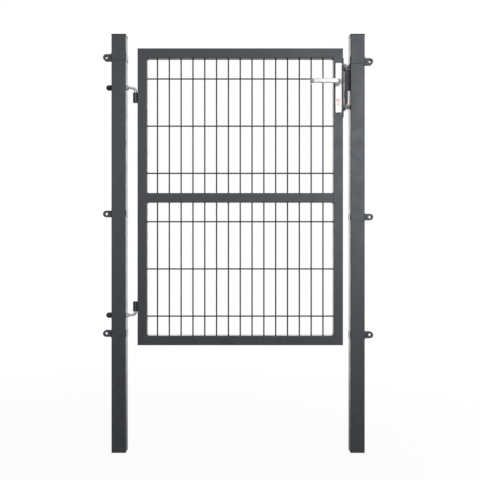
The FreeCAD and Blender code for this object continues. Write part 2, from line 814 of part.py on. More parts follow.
def plate_screw(height):
    """Screw that draws the two cover plates together."""
    shank = bar_y(spindle_x, -plate_face, plate_face - plate_screw_head_height - 1, height,
                  small_screw_radius)
    head = bar_y(spindle_x, -plate_face, plate_screw_head_height - plate_face, height,
                 plate_screw_head_radius)
    return shank.fuse(head)


def sleeve_nut(height):
    """Nut with a long neck that sits in the rear cover plate."""
    end = plate_face
    neck = bar_y(spindle_x, end - sleeve_nut_length, end, height, sleeve_nut_radius)
    head = bar_y(spindle_x, end - plate_screw_head_height, end, height, plate_screw_head_radius)
    bore = bar_y(spindle_x, end - sleeve_nut_length - 1, end - plate_screw_head_height, height,
                 small_screw_radius + thread_fit)
    return neck.fuse(head).cut(bore)


def handle_spring():
    """Return spring round the spindle, in the front cover plate's pocket."""
    pitch = handle_spring_wire + handle_spring_space
    height = handle_spring_turns * pitch
    spring = coil(handle_spring_radius, handle_spring_wire, pitch, height)
    start = -half_leaf - plate_pocket_depth / 2 - height / 2
    spring.Placement = FreeCAD.Placement(Vector(spindle_x, start, spindle_z),
                                         Rotation(Z_AXIS, Y_AXIS))
    return spring


def lever():
    """Front lever: hub, arm and a return at the tip."""
    hub_face = -plate_face - lever_gap
    tip_x = spindle_x - lever_length + lever_arm_thickness / 2
    start = Vector(spindle_x, hub_face - lever_hub_length / 2, spindle_z)
    path = bent_path([start, Vector(spindle_x, -lever_arm_y, spindle_z),
                      Vector(tip_x, -lever_arm_y, spindle_z),
                      Vector(tip_x, lever_return - lever_reach, spindle_z)], lever_bend)
    section = rounded_rectangle(start, lever_arm_thickness, lever_arm_height, lever_arm_round)
    handle = swept(path, section)
    handle = handle.fuse(bar_y(spindle_x, hub_face - lever_hub_length, hub_face, spindle_z,
                               lever_hub_radius))
    return bored_for_spindle(handle.removeSplitter())


def bored_for_spindle(hub):
    """Front hub with its square hole and the hole for its set screw."""
    hub_face = -plate_face - lever_gap
    hub = hub.cut(square_bar_y(hub_face - lever_hub_length, hub_face + 1,
                               spindle_side + 2 * spindle_fit))
    return hub.cut(bar_z(spindle_x, hub_face - lever_hub_length / 2,
                         spindle_z - lever_hub_radius - 1, spindle_z,
                         set_screw_radius + thread_fit))


def rear_spindle_collar():
    """Collar that holds the spindle's rear end, where no lever is fitted."""
    hub_face = -plate_face - lever_gap
    collar = bar_y(spindle_x, hub_face - lever_hub_length, hub_face, spindle_z,
                   lever_hub_radius)
    rim = [e for e in collar.Edges if e.BoundBox.YMax < hub_face - 1
           and e.BoundBox.XLength > lever_hub_radius]
    return mirrored_y(bored_for_spindle(collar.makeFillet(collar_edge_round, rim)))


def set_screw():
    """Grub screw from below, through a hub to the spindle."""
    y = -plate_face - lever_gap - lever_hub_length / 2
    top = spindle_z - spindle_side / 2 - spindle_fit
    return bar_z(spindle_x, y, spindle_z - lever_hub_radius + set_screw_depth, top,
                 set_screw_radius)


# ---- profile cylinder -------------------------------------------------------------------
def cylinder_body():
    body = euro_profile(-cylinder_end, cylinder_end, 0)
    cam_room = cam_nose_radius + 1
    body = body.cut(block(spindle_x - cam_room, spindle_x + cam_room,
                          -cam_width / 2 - cam_slot_gap, cam_width / 2 + cam_slot_gap,
                          cylinder_z - cam_room, cylinder_z + cam_room))
    body = body.cut(bar_y(spindle_x, -cylinder_end - 1, cylinder_end + 1, cylinder_z,
                          plug_radius + plug_running_fit))
    return body.cut(bar_x(spindle_x - cylinder_leg_width, spindle_x + cylinder_leg_width, 0,
                          cylinder_screw_z, small_screw_radius + thread_fit))


def key_plug():
    """Front plug with its key slot."""
    inner_end = -cam_width / 2 - cam_slot_gap
    plug = bar_y(spindle_x, -cylinder_end, inner_end, cylinder_z, plug_radius)
    half_slot = key_slot_width / 2
    slot_top = cylinder_z + key_slot_height / 2
    return plug.cut(block(spindle_x - half_slot, spindle_x + half_slot, -cylinder_end - 1,
                          key_slot_depth - cylinder_end, slot_top - key_slot_height, slot_top))


def cylinder_cam():
    """Cam between the two plugs, parked with its nose down."""
    half_width = cam_width / 2
    ring = bar_y(spindle_x, -half_width, half_width, cylinder_z, cam_ring_radius)
    half_nose = cam_nose_width / 2
    nose = block(spindle_x - half_nose, spindle_x + half_nose, -half_width, half_width,
                 cylinder_z - cam_nose_radius + half_nose, cylinder_z)
    tip = bar_y(spindle_x, -half_width, half_width, cylinder_z - cam_nose_radius + half_nose,
                half_nose)
    return ring.fuse(nose).fuse(tip).removeSplitter()


# ---- strike -----------------------------------------------------------------------------
def strike_keeper():
    """Folded channel that takes the bolts, with a flat tab and a stop ear at each end."""
    web_back = strike_face + strike_web
    web = block(strike_face, web_back, -half_strike, half_strike, strike_bottom, strike_top)
    low = strike_bottom + strike_tab
    high = strike_top - strike_tab
    flange = block(strike_face, strike_back, -half_strike, strike_flange - half_strike, low, high)
    keeper = web.fuse(flange).fuse(mirrored_y(flange))
    tab_height = strike_tab - 1
    ear_back = ear_front + stop_ear_thickness
    for bottom in (strike_bottom, strike_top - tab_height):
        top = bottom + tab_height
        keeper = keeper.fuse(block(strike_face, web_back, half_strike, ear_back, bottom, top))
        keeper = keeper.fuse(block(ear_tip, web_back, ear_front, ear_back, bottom, top))
    keeper = keeper.removeSplitter()
    keeper = keeper.cut(bolt_opening(strike_face - 1, web_back + 1, latch_bottom, latch_top,
                                     strike_slot_gap))
    keeper = keeper.cut(bolt_opening(strike_face - 1, web_back + 1, dead_bolt_bottom,
                                     dead_bolt_top, strike_slot_gap))
    for height in strike_screw_heights:
        keeper = keeper.cut(bar_x(strike_face - 1, web_back + 1, 0, height,
                                  strike_screw_radius + small_hole_gap))
    return keeper


def strike_latch_pocket():
    """Ring that closes the space between keeper and post round the latch bolt."""
    pocket = block(strike_back, latch_post_inner, -half_strike, half_strike, pocket_bottom,
                   pocket_top)
    return pocket.cut(block(strike_back - 1, latch_post_inner + 1, pocket_wall - half_strike,
                            half_strike - pocket_wall, pocket_bottom + pocket_wall,
                            pocket_top - pocket_wall))


def strike_screw(height):
    head = bar_x(strike_face - strike_screw_head_height, strike_face, 0, height,
                 strike_screw_head_radius)
    shank = bar_x(strike_face, strike_face + strike_screw_length, 0, height,
                  strike_screw_radius)
    socket = hexagon_x(strike_face - strike_screw_head_height - 1,
                       strike_face - strike_screw_head_height + socket_depth, 0, height,
                       2 * socket_radius)
    return head.fuse(shank).cut(socket)


def strike_bush(height):
    """Threaded bush that sets the strike's distance from the post."""
    x0 = strike_face + strike_web
    x1 = latch_post_inner - rivet_flange_thickness
    bush = bar_x(x0, x1, 0, height, strike_bush_radius)
    return bush.cut(bar_x(x0 - 1, x1 + 1, 0, height, strike_screw_radius + strike_bush_gap))


def strike_lock_nuts():
    nuts = []
    for height in strike_screw_heights:
        for step in range(2):
            x0 = strike_face + strike_web + step * strike_nut_step
            x1 = x0 + strike_nut_thickness
            nut = hexagon_x(x0, x1, 0, height, strike_nut_width)
            nuts.append(nut.cut(bar_x(x0 - 1, x1 + 1, 0, height,
                                      strike_bush_radius + thread_fit)))
    return group(nuts)


def rivet_nut(height):
    x0 = latch_post_inner - rivet_flange_thickness
    x1 = latch_post_inner + rivet_body_length
    nut = bar_x(x0, latch_post_inner, 0, height, rivet_flange_radius)
    nut = nut.fuse(bar_x(latch_post_inner, x1, 0, height, rivet_body_radius))
    return nut.cut(bar_x(x0 - 1, x1 + 1, 0, height, strike_screw_radius + thread_fit))


def stop_buffer(bottom):
    """Rubber pad on a stop ear, where the leaf comes to rest."""
    return block(ear_tip, ear_tip + buffer_width, buffer_front, ear_front,
                 bottom + buffer_inset, bottom + strike_tab - 1 - buffer_inset)


# ---- all pieces -------------------------------------------------------------------------
def post_nodes():
    clamp_heights = {
        "upper": (leaf_top - hinge_clamp_drop, leaf_top - latch_clamp_drop),
        "middle": (mid_rail_z - hinge_middle_clamp_drop, mid_rail_z - latch_middle_clamp_drop),
        "lower": (leaf_bottom + hinge_low_clamp_rise, leaf_bottom + latch_low_clamp_rise),
    }
    rod_heights = [upper_rod_z, lower_rod_z]
    nodes = {
        "hinge_post_tube": hinge_post_tube(),
        "hinge_post_cap": post_cap(hinge_post_outer),
        "hinge_post_foot_plug": foot_plug(hinge_post_outer),
        "latch_post_tube": latch_post_tube(),
        "latch_post_cap": post_cap(latch_post_inner),
        "latch_post_foot_plug": foot_plug(latch_post_inner),
        "upper_hinge_rod": hinge_rod(upper_rod_z, False),
        "lower_hinge_rod": hinge_rod(lower_rod_z, True),
        "hinge_inner_washers": group([rod_washer(hinge_post_inner, inner_washer_thickness, z)
                                      for z in rod_heights]),
        "hinge_inner_nuts": group([rod_nut(inner_nut_x, jam_nut_thickness, z)
                                   for z in rod_heights]),
        "hinge_outer_washers": group([rod_washer(outer_washer_x, outer_washer_thickness, z)
                                      for z in rod_heights]),
        "hinge_outer_nuts": group([rod_nut(outer_nut_x, outer_nut_thickness, z)
                                   for z in rod_heights]),
        "hinge_nut_caps": group([nut_cap(z) for z in rod_heights]),
    }
    for level, (hinge_height, latch_height_) in clamp_heights.items():
        nodes["hinge_post_" + level + "_clamp"] = fence_clamp(hinge_post_outer, -1, hinge_height)
        nodes["latch_post_" + level + "_clamp"] = fence_clamp(latch_post_inner, 1, latch_height_)
    return nodes


def strike_nodes():
    return {
        "strike_keeper": strike_keeper(),
        "strike_latch_pocket": strike_latch_pocket(),
        "strike_screws": group([strike_screw(z) for z in strike_screw_heights]),
        "strike_spacer_bushes": group([strike_bush(z) for z in strike_screw_heights]),
        "strike_lock_nuts": strike_lock_nuts(),
        "post_rivet_nuts": group([rivet_nut(z) for z in strike_screw_heights]),
        "stop_buffers": group([stop_buffer(strike_bottom),
                               stop_buffer(strike_top - strike_tab + 1)]),
    }


def leaf_nodes():
    upper_field = (mid_rail_z + half_leaf, leaf_top - leaf_tube)
    lower_field = (leaf_bottom + leaf_tube, mid_rail_z - half_leaf)
    return {
        "leaf_hinge_stile": leaf_stile(leaf_left, 1),
        "leaf_latch_stile": leaf_latch_stile(),
        "leaf_top_rail": leaf_end_rail(leaf_top, leaf_top - leaf_tube),
        "leaf_bottom_rail": leaf_end_rail(leaf_bottom, leaf_bottom + leaf_tube),
        "leaf_mid_rail": leaf_mid_rail(),
        "upper_mesh_uprights": mesh_uprights(*upper_field),
        "upper_mesh_crosswires": mesh_crosswires(*upper_field),
        "lower_mesh_uprights": mesh_uprights(*lower_field),
        "lower_mesh_crosswires": mesh_crosswires(*lower_field),
        "upper_hinge_sleeve": hinge_sleeve(upper_sleeve_top - hinge_sleeve_length),
        "lower_hinge_sleeve": hinge_sleeve(lower_sleeve_bottom),
    }


def lock_nodes():
    end_screws = forend_screws_at(0)
    return {
        "lock_case": lock_case(),
        "lock_forend": lock_forend(),
        "forend_screws": group(end_screws[:2]),
        "cylinder_fixing_screw": end_screws[2],
        "front_cover_plate": cover_plate(),
        "rear_cover_plate": rear_cover_plate(),
        "cover_plate_screws": group([plate_screw(z) for z in plate_screw_heights]),
        "cover_plate_sleeve_nuts": group([sleeve_nut(z) for z in plate_screw_heights]),
        "cylinder_body": cylinder_body(),
        "front_key_plug": key_plug(),
        "rear_key_plug": mirrored_y(key_plug()),
        "cylinder_cam": cylinder_cam(),
        "latch_bolt": latch_bolt(),
        "latch_spring": latch_spring(),
        "dead_bolt": dead_bolt(),
        "follower": follower(),
        "spindle": square_bar_y(-plate_face - lever_hub_length, plate_face + lever_hub_length,
                                spindle_side),
        "handle_spring": handle_spring(),
        "front_lever": lever(),
        "rear_spindle_collar": rear_spindle_collar(),
        "spindle_set_screws": group([set_screw(), mirrored_y(set_screw())]),
    }


os.makedirs("parts", exist_ok=True)
all_nodes = {**post_nodes(), **strike_nodes(), **leaf_nodes(), **lock_nodes()}
for name, shape in all_nodes.items():
    shape.exportStep("parts/" + name + ".step")
    print(name, len(shape.Solids), "solids", round(shape.Volume / 1000, 2), "cm3")
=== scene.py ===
"""Finishes a garden gate: powder coat, threaded hinge rods, welds, lock fittings and the studio."""
import json
import math

import bmesh
import bpy
from mathutils import Matrix, Vector


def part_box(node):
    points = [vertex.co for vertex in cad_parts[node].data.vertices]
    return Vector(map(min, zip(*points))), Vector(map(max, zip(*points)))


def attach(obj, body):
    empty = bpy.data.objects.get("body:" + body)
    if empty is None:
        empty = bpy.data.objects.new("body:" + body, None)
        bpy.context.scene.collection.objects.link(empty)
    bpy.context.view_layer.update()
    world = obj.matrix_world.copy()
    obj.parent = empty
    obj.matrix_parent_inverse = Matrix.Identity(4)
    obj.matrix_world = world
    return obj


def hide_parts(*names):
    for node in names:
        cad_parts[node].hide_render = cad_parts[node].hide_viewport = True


bl_info = {
    "name": "Garden gate finish",
    "version": (1, 0, 0),
    "blender": (4, 5, 0),
    "location": "View3D > Sidebar > Gate",
    "description": "Adds welds, threads, fittings and finishes to a garden gate",
    "category": "Object",
}

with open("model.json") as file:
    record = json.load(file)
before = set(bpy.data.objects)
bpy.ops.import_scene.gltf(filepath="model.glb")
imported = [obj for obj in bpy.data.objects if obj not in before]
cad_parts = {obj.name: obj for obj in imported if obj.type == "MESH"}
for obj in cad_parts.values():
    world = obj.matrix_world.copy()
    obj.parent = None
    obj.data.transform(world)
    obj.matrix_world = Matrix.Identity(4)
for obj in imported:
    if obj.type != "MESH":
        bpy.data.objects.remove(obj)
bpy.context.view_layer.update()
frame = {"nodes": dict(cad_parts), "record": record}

X_AXIS = Vector((1, 0, 0))
Y_AXIS = Vector((0, 1, 0))
Z_AXIS = Vector((0, 0, 1))
FULL_TURN = 2 * math.pi
QUARTER = math.pi / 2
BEND_STEPS = 12


# ---- sizes and colours a user would change ----------------------------------------------
def length(name, description, metres):
    """Length property shown in the scene's units."""
    return bpy.props.FloatProperty(name=name, description=description, default=metres,
                                   min=0.0, precision=5, unit="LENGTH")


def colour(name, description, value):
    """Colour property."""
    return bpy.props.FloatVectorProperty(name=name, description=description, default=value,
                                         size=3, min=0.0, max=1.0, subtype="COLOR")


class GateSizes(bpy.types.PropertyGroup):
    """Sizes of what is added to the bare gate."""
    rod_radius: length("Rod radius", "Radius of the hinge rods", 0.006)
    rod_bend: length("Rod bend", "Radius of the bend's centre line", 0.016)
    thread_pitch: length("Thread pitch", "Pitch of the hinge rods' thread", 0.00175)
    thread_depth: length("Thread depth", "Depth of the hinge rods' thread", 0.0009)
    thread_reach: length("Thread reach", "Thread that shows beyond the inner nut", 0.0065)
    nut_chamfer: length("Nut chamfer", "Height of the chamfer on a nut's corners", 0.0012)
    lever_thickness: length("Lever thickness", "Thickness of the lever's arm", 0.010)
    lever_bend: length("Lever bend", "Radius of the lever's two bends", 0.015)
    lever_hub: length("Lever hub", "Radius of the lever's hub", 0.011)
    corner_bead: length("Corner bead", "Radius of the welds in the frame's corners", 0.0028)
    seam_rise: length("Seam rise", "How far a dressed mitre weld stands proud", 0.0003)
    wire_blob: length("Wire weld", "Radius of the weld at a wire's end", 0.0040)
    camera_distance: length("Camera distance", "Camera to the gate's middle plane", 3.1)
    camera_height: length("Camera height", "Camera above the ground", 0.893)
    camera_side: length("Camera side", "Camera beside the hinge post", 0.5095)


class GateColours(bpy.types.PropertyGroup):
    """Base colours of the finishes."""
    coat: colour("Powder coat", "Anthracite powder coat", (0.0240, 0.0255, 0.0310))
    plastic: colour("Plastic", "Caps and plugs", (0.012, 0.012, 0.013))
    rubber: colour("Rubber", "Stop buffers", (0.010, 0.010, 0.010))
    silver: colour("Silver", "Anodised lever and cover plates", (0.89, 0.89, 0.89))
    brass: colour("Brass", "Washed brass of the cylinder", (0.57, 0.44, 0.39))
    zinc: colour("Zinc", "Bright zinc plating", (0.78, 0.79, 0.80))
    dark_steel: colour("Dark steel", "Coated strike and forend", (0.030, 0.031, 0.035))
    spring: colour("Spring wire", "Oiled spring wire", (0.20, 0.20, 0.21))


# ---- finishes ---------------------------------------------------------------------------
class Finish:
    """Builds one procedural material on object coordinates."""

    def __init__(self, name, base, metallic, coat=0.0):
        self.material = bpy.data.materials.new(name)
        self.material.use_nodes = True
        self.tree = self.material.node_tree
        self.shader = self.tree.nodes["Principled BSDF"]
        self.shader.inputs["Metallic"].default_value = metallic
        self.shader.inputs["Coat Weight"].default_value = coat
        self.base = base
        self.place = self.tree.nodes.new("ShaderNodeTexCoord").outputs["Object"]
        self.normal = None

    def link(self, start, end):
        self.tree.links.new(start, end)

    def stretched(self, scale):
        """Object coordinates stretched by a scale along each axis."""
        mapping = self.tree.nodes.new("ShaderNodeMapping")
        mapping.inputs["Scale"].default_value = scale
        self.link(self.place, mapping.inputs["Vector"])
        return mapping.outputs["Vector"]

    def noise(self, scale, detail=3.0, place=None):
        """Noise value of a given scale."""
        node = self.tree.nodes.new("ShaderNodeTexNoise")
        node.inputs["Scale"].default_value = scale
        node.inputs["Detail"].default_value = detail
        self.link(place or self.place, node.inputs["Vector"])
        return node.outputs["Fac"]

    def cells(self, scale):
        """Random value for each cell of a given scale."""
        node = self.tree.nodes.new("ShaderNodeTexVoronoi")
        node.inputs["Scale"].default_value = scale
        self.link(self.place, node.inputs["Vector"])
        grey = self.tree.nodes.new("ShaderNodeRGBToBW")
        self.link(node.outputs["Color"], grey.inputs["Color"])
        return grey.outputs["Val"]

    def mixed(self, first, second, share):
        """Sum of two values, the second counted by its share."""
        node = self.tree.nodes.new("ShaderNodeMath")
        node.operation = "MULTIPLY_ADD"
        self.link(second, node.inputs[0])
        node.inputs[1].default_value = share
        self.link(first, node.inputs[2])
        return node.outputs["Value"]

    def tint(self, value, low, high, spread=(0.3, 0.7)):
        """Base colour between a darker and a lighter share of the finish's own."""
        ramp = self.tree.nodes.new("ShaderNodeValToRGB")
        for stop, at, share in zip(ramp.color_ramp.elements, spread, (low, high)):
            stop.position = at
            stop.color = (*[min(1.0, channel * share) for channel in self.base], 1.0)
        self.link(value, ramp.inputs["Fac"])
        self.link(ramp.outputs["Color"], self.shader.inputs["Base Color"])

    def rough(self, value, low, high):
        """Roughness between two limits."""
        node = self.tree.nodes.new("ShaderNodeMapRange")
        node.inputs["From Min"].default_value = 0.25
        node.inputs["From Max"].default_value = 0.75
        node.inputs["To Min"].default_value = low
        node.inputs["To Max"].default_value = high
        self.link(value, node.inputs["Value"])
        self.link(node.outputs["Result"], self.shader.inputs["Roughness"])

    def relief(self, value, strength, height):
        """Bump of a given height, added to what is there."""
        node = self.tree.nodes.new("ShaderNodeBump")
        node.inputs["Strength"].default_value = strength
        node.inputs["Distance"].default_value = height
        self.link(value, node.inputs["Height"])
        if self.normal is not None:
            self.link(self.normal, node.inputs["Normal"])
        self.normal = node.outputs["Normal"]
        self.link(self.normal, self.shader.inputs["Normal"])


def powder_coat(base):
    """Satin powder coat with orange peel and slight settling marks."""
    finish = Finish("anthracite_powder_coat", base, 0.0)
    finish.shader.inputs["Specular IOR Level"].default_value = 0.85
    finish.shader.inputs["Specular Tint"].default_value = (0.90, 0.94, 1.0, 1.0)
    broad = finish.noise(7.0, 4.0)
    fine = finish.noise(90.0, 2.0)
    finish.tint(finish.mixed(broad, fine, 0.25), 0.86, 1.12, (0.4, 0.8))
    finish.rough(finish.noise(28.0), 0.30, 0.41)
    finish.relief(finish.noise(750.0, 2.0), 0.35, 0.00012)
    finish.relief(finish.noise(2600.0, 1.0), 0.25, 0.00003)
    return finish.material


def moulded_plastic(base):
    """Black plastic with a fine spark-eroded grain."""
    finish = Finish("black_moulded_plastic", base, 0.0)
    finish.tint(finish.noise(60.0), 0.7, 1.6)
    finish.rough(finish.noise(220.0), 0.42, 0.60)
    finish.relief(finish.noise(3200.0, 2.0), 0.5, 0.00006)
    return finish.material


def buffer_rubber(base):
    """Matt rubber with a dusty bloom."""
    finish = Finish("black_buffer_rubber", base, 0.0)
    finish.tint(finish.noise(140.0), 0.7, 2.4)
    finish.rough(finish.noise(90.0), 0.72, 0.92)
    finish.relief(finish.noise(1500.0, 4.0), 0.5, 0.0001)
    return finish.material


def satin_silver(base):
    """Silver anodised aluminium with a fine upright brush."""
    finish = Finish("satin_silver_aluminium", base, 0.60)
    brush = finish.noise(1.0, 3.0, finish.stretched((2600.0, 2600.0, 60.0)))
    finish.tint(finish.mixed(brush, finish.noise(40.0), 0.3), 0.93, 1.04, (0.4, 0.9))
    finish.rough(brush, 0.30, 0.42)
    finish.relief(brush, 0.18, 0.00003)
    return finish.material


def washed_brass(base):
    """Brass with a pale wash, turned lines and light handling marks."""
    finish = Finish("washed_brass", base, 0.95)
    finish.tint(finish.noise(180.0), 0.85, 1.1)
    turning = finish.noise(1.0, 2.0, finish.stretched((300.0, 4200.0, 300.0)))
    finish.rough(turning, 0.26, 0.42)
    finish.relief(turning, 0.2, 0.00004)
    return finish.material


def bright_zinc(base):
    """Zinc plating with soft patches and draw lines."""
    finish = Finish("bright_zinc", base, 0.80)
    finish.tint(finish.mixed(finish.cells(320.0), finish.noise(45.0), 0.6), 0.78, 1.12, (0.3, 1.1))
    finish.rough(finish.noise(160.0), 0.34, 0.50)
    finish.relief(finish.noise(1400.0, 3.0), 0.2, 0.00004)
    return finish.material


def dark_steel(base):
    """Dark coating on the strike and the forend, thin over the metal's grain."""
    finish = Finish("dark_coated_steel", base, 0.15)
    finish.tint(finish.noise(70.0), 0.75, 1.35)
    finish.rough(finish.noise(120.0), 0.34, 0.50)
    finish.relief(finish.noise(1100.0, 3.0), 0.3, 0.00006)
    return finish.material


def spring_wire(base):
    """Oiled wire with drawing marks."""
    finish = Finish("oiled_spring_wire", base, 0.9)
    finish.tint(finish.noise(400.0), 0.7, 1.3)
    finish.rough(finish.noise(900.0), 0.22, 0.40)
    finish.relief(finish.noise(3000.0), 0.2, 0.00003)
    return finish.material


FINISHES = {
    "anthracite_powder_coat": (powder_coat, "coat"),
    "black_plastic": (moulded_plastic, "plastic"),
    "black_rubber": (buffer_rubber, "rubber"),
    "silver_aluminium": (satin_silver, "silver"),
    "satin_brass": (washed_brass, "brass"),
    "zinc_steel": (bright_zinc, "zinc"),
    "dark_coated_steel": (dark_steel, "dark_steel"),
    "spring_steel": (spring_wire, "spring"),
}
finished = {}


def finish_for(slot, context):
    """Material of a record slot, made once."""
    if slot not in finished:
        make, base = FINISHES[slot]
        finished[slot] = make(getattr(context.scene.gate_colours, base))
    return finished[slot]


# ---- mesh helpers -----------------------------------------------------------------------
def piece(context, name, mesh_in, body, slot, replaces=(), smooth_below=40.0):
    """Object from a bmesh at the origin, with its finish, riding on a body."""
    mesh = bpy.data.meshes.new(name)
    mesh_in.to_mesh(mesh)
    mesh_in.free()
    mesh.shade_smooth()
    mesh.set_sharp_from_angle(angle=math.radians(smooth_below))
    item = bpy.data.objects.new(name, mesh)
    context.scene.collection.objects.link(item)
    mesh.materials.append(finish_for(slot, context))
    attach(item, body)
    if replaces:
        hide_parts(*replaces)
    return item


def outwards(shape):
    """Merge doubles and turn every face outwards."""
    bmesh.ops.remove_doubles(shape, verts=shape.verts[:], dist=1e-6)
    bmesh.ops.recalc_face_normals(shape, faces=shape.faces[:])
    return shape


def separate_boxes(node):
    """Lowest and highest corner of each loose solid of a node, by X and then by height."""
    mesh = bmesh.new()
    mesh.from_mesh(frame["nodes"][node].data)
    bmesh.ops.remove_doubles(mesh, verts=mesh.verts[:], dist=1e-6)
    unseen = set(mesh.verts)
    found = []
    while unseen:
        stack = [unseen.pop()]
        solid = []
        while stack:
            vert = stack.pop()
            solid.append(vert.co.copy())
            near = {other for edge in vert.link_edges for other in edge.verts} & unseen
            unseen -= near
            stack.extend(near)
        low = Vector([min(co[axis] for co in solid) for axis in range(3)])
        high = Vector([max(co[axis] for co in solid) for axis in range(3)])
        found.append((low, high))
    mesh.free()
    return sorted(found, key=lambda box: (box[0].x, box[0].z))


def next_ring(shape, edges):
    """Points and edges of the ring that extruding a ring of edges makes."""
    made = bmesh.ops.extrude_edge_only(shape, edges=edges)["geom"]
    verts = [item for item in made if isinstance(item, bmesh.types.BMVert)]
    ring = set(verts)
    edges = [item for item in made if isinstance(item, bmesh.types.BMEdge)
             and set(item.verts) <= ring]
    return verts, edges


def turned_to(axis):
    """Rotation that carries +Z to an axis."""
    return Z_AXIS.rotation_difference(axis).to_matrix().to_4x4()


class Sweep:
    """Ring of edges that is drawn along a path, one step at a time, and closed at its end."""

    def __init__(self, shape, centre, direction, ring_points):
        self.shape = shape
        self.centre = Vector(centre)
        self.direction = Vector(direction).normalized()
        count = len(ring_points)
        made = bmesh.ops.create_circle(shape, cap_ends=True, segments=count, radius=1.0)
        self.verts = made["verts"]
        for vert, point in zip(self.verts, ring_points):
            vert.co = self.centre + point
        self.edges = list({edge for vert in self.verts for edge in vert.link_edges})

    def extrude(self):
        """New ring on top of the last."""
        self.verts, self.edges = next_ring(self.shape, self.edges)

    def straight(self, distance, scale=1.0):
        """Draw the ring forwards, growing or shrinking it about its middle."""
        self.extrude()
        move = self.direction * distance
        bmesh.ops.translate(self.shape, verts=self.verts, vec=move)
        self.centre += move
        for vert in self.verts:
            vert.co = self.centre + (vert.co - self.centre) * scale

    def turn(self, pivot, axis, angle, steps):
        """Draw the ring round a bend."""
        spin = Matrix.Rotation(angle / steps, 4, axis)
        for _ in range(steps):
            self.extrude()
            bmesh.ops.rotate(self.shape, verts=self.verts, cent=pivot, matrix=spin)
            self.centre = pivot + spin @ (self.centre - pivot)
            self.direction = (spin.to_3x3() @ self.direction).normalized()

    def dome(self, height, steps):
        """Round the end off."""
        shrink = [math.cos(QUARTER * step / steps) for step in range(steps + 1)]
        rise = [math.sin(QUARTER * step / steps) for step in range(steps + 1)]
        for step in range(1, steps):
            self.straight(height * (rise[step] - rise[step - 1]), shrink[step] / shrink[step - 1])

    def close(self):
        """Face across the last ring."""
        bmesh.ops.contextual_create(self.shape, geom=self.edges)


def round_ring(radius, across, up, count=32):
    """Points of a circle in the plane of two unit vectors."""
    angles = [FULL_TURN * step / count for step in range(count)]
    return [across * radius * math.cos(a) + up * radius * math.sin(a) for a in angles]


def oval_ring(thickness, height, across, up, count=32):
    """Points of a flat-sided oval: half circles joined by straight flanks."""
    shift = (height - thickness) / 2
    points = []
    for point in round_ring(thickness / 2, across, up, count):
        side = 1 if point.dot(up) >= -1e-9 else -1
        points.append(point + up * shift * side)
    return points


def hexagon_radius(angle, width):
    """Distance from a hexagon's middle to its edge in one direction."""
    sixth = FULL_TURN / 6
    off_flat = (angle + sixth / 2) % sixth - sixth / 2
    return width / 2 / math.cos(off_flat)


def angle_of(vert):
    """Angle of a point about Z."""
    return math.atan2(vert.co.y, vert.co.x) % FULL_TURN


def lathe(rings, place, axis, segments=48):
    """Closed ring-shaped solid through (height, radius of angle) pairs, standing along an axis."""
    part = bmesh.new()
    verts = bmesh.ops.create_circle(part, cap_ends=False, segments=segments, radius=1.0)["verts"]
    edges = list({edge for vert in verts for edge in vert.link_edges})
    angles = [FULL_TURN * step / segments for step in range(segments)]
    for index, (height, radius_at) in enumerate([*rings, rings[0]]):
        if index:
            verts, edges = next_ring(part, edges)
        verts.sort(key=angle_of)
        for vert, angle in zip(verts, angles):
            radius = radius_at(angle)
            vert.co = Vector((radius * math.cos(angle), radius * math.sin(angle), height))
    outwards(part)
    bmesh.ops.transform(part, matrix=Matrix.Translation(place) @ turned_to(axis),
                        verts=part.verts[:])
    return part


def constant(radius):
    """Radius that is the same in every direction."""
    return lambda angle: radius


def turned(outline, place, axis, segments=48):
    """Round solid through (height, radius) pairs, from its bore's foot round to its bore's top."""
    rings = [(height, constant(radius)) for height, radius in outline]
    return lathe(rings, place, axis, segments)


def grooved_collar(radius, bore):
    """Start of a turned outline: a broken edge, a land and a shallow groove."""
    edge = 0.0004
    depth = 0.0007
    return [(0.0, bore), (0.0, radius - edge), (edge, radius), (0.0024, radius),
            (0.0030, radius - depth), (0.0038, radius - depth), (0.0044, radius)]


def joined(parts):
    """One bmesh out of several."""
    whole = bmesh.new()
    for part in parts:
        mesh = bpy.data.meshes.new("scrap")
        part.to_mesh(mesh)
        part.free()
        whole.from_mesh(mesh)
        bpy.data.meshes.remove(mesh)
    return whole


def nut(width, thickness, bore, chamfer, place, axis):
    """Hexagon nut with chamfered corners, both ways up."""
    flat_circle = width * 0.475
    chamfer_circle = flat_circle + chamfer * 1.7
    chamfer_start = chamfer * 0.55
    sink = bore * 0.12

    def hexagon(angle):
        return hexagon_radius(angle, width)

    def chamfered(angle):
        return min(hexagon(angle), chamfer_circle)

    lower = [(sink, constant(bore)), (0.0, constant(bore + sink)), (0.0, constant(flat_circle)),
             (chamfer_start, chamfered), (chamfer, hexagon)]
    upper = [(thickness - height, radius) for height, radius in reversed(lower)]
    return lathe(lower + upper, place, axis)


def socket_head(radius, height, socket_width, socket_depth, edge, place, axis):
    """Low round head with a hexagon socket, turned round a hair-thin bore."""
    bore = constant(socket_width * 0.05)
    rim = height - edge * 0.3
    floor = height - socket_depth

    def socket(angle):
        return hexagon_radius(angle, socket_width)

    rings = [(0.0, bore), (0.0, constant(radius)), (height - edge, constant(radius)),
             (rim, constant(radius - edge * 0.3)), (height, constant(radius - edge)),
             (height, socket), (floor, socket), (floor, bore)]
    return lathe(rings, place, axis)


# ---- operators --------------------------------------------------------------------------
class GateStep:
    """What every step of the finish has in common."""
    bl_options = {"REGISTER", "UNDO"}

    def execute(self, context):
        self.make(context, context.scene.gate_sizes)
        return {"FINISHED"}


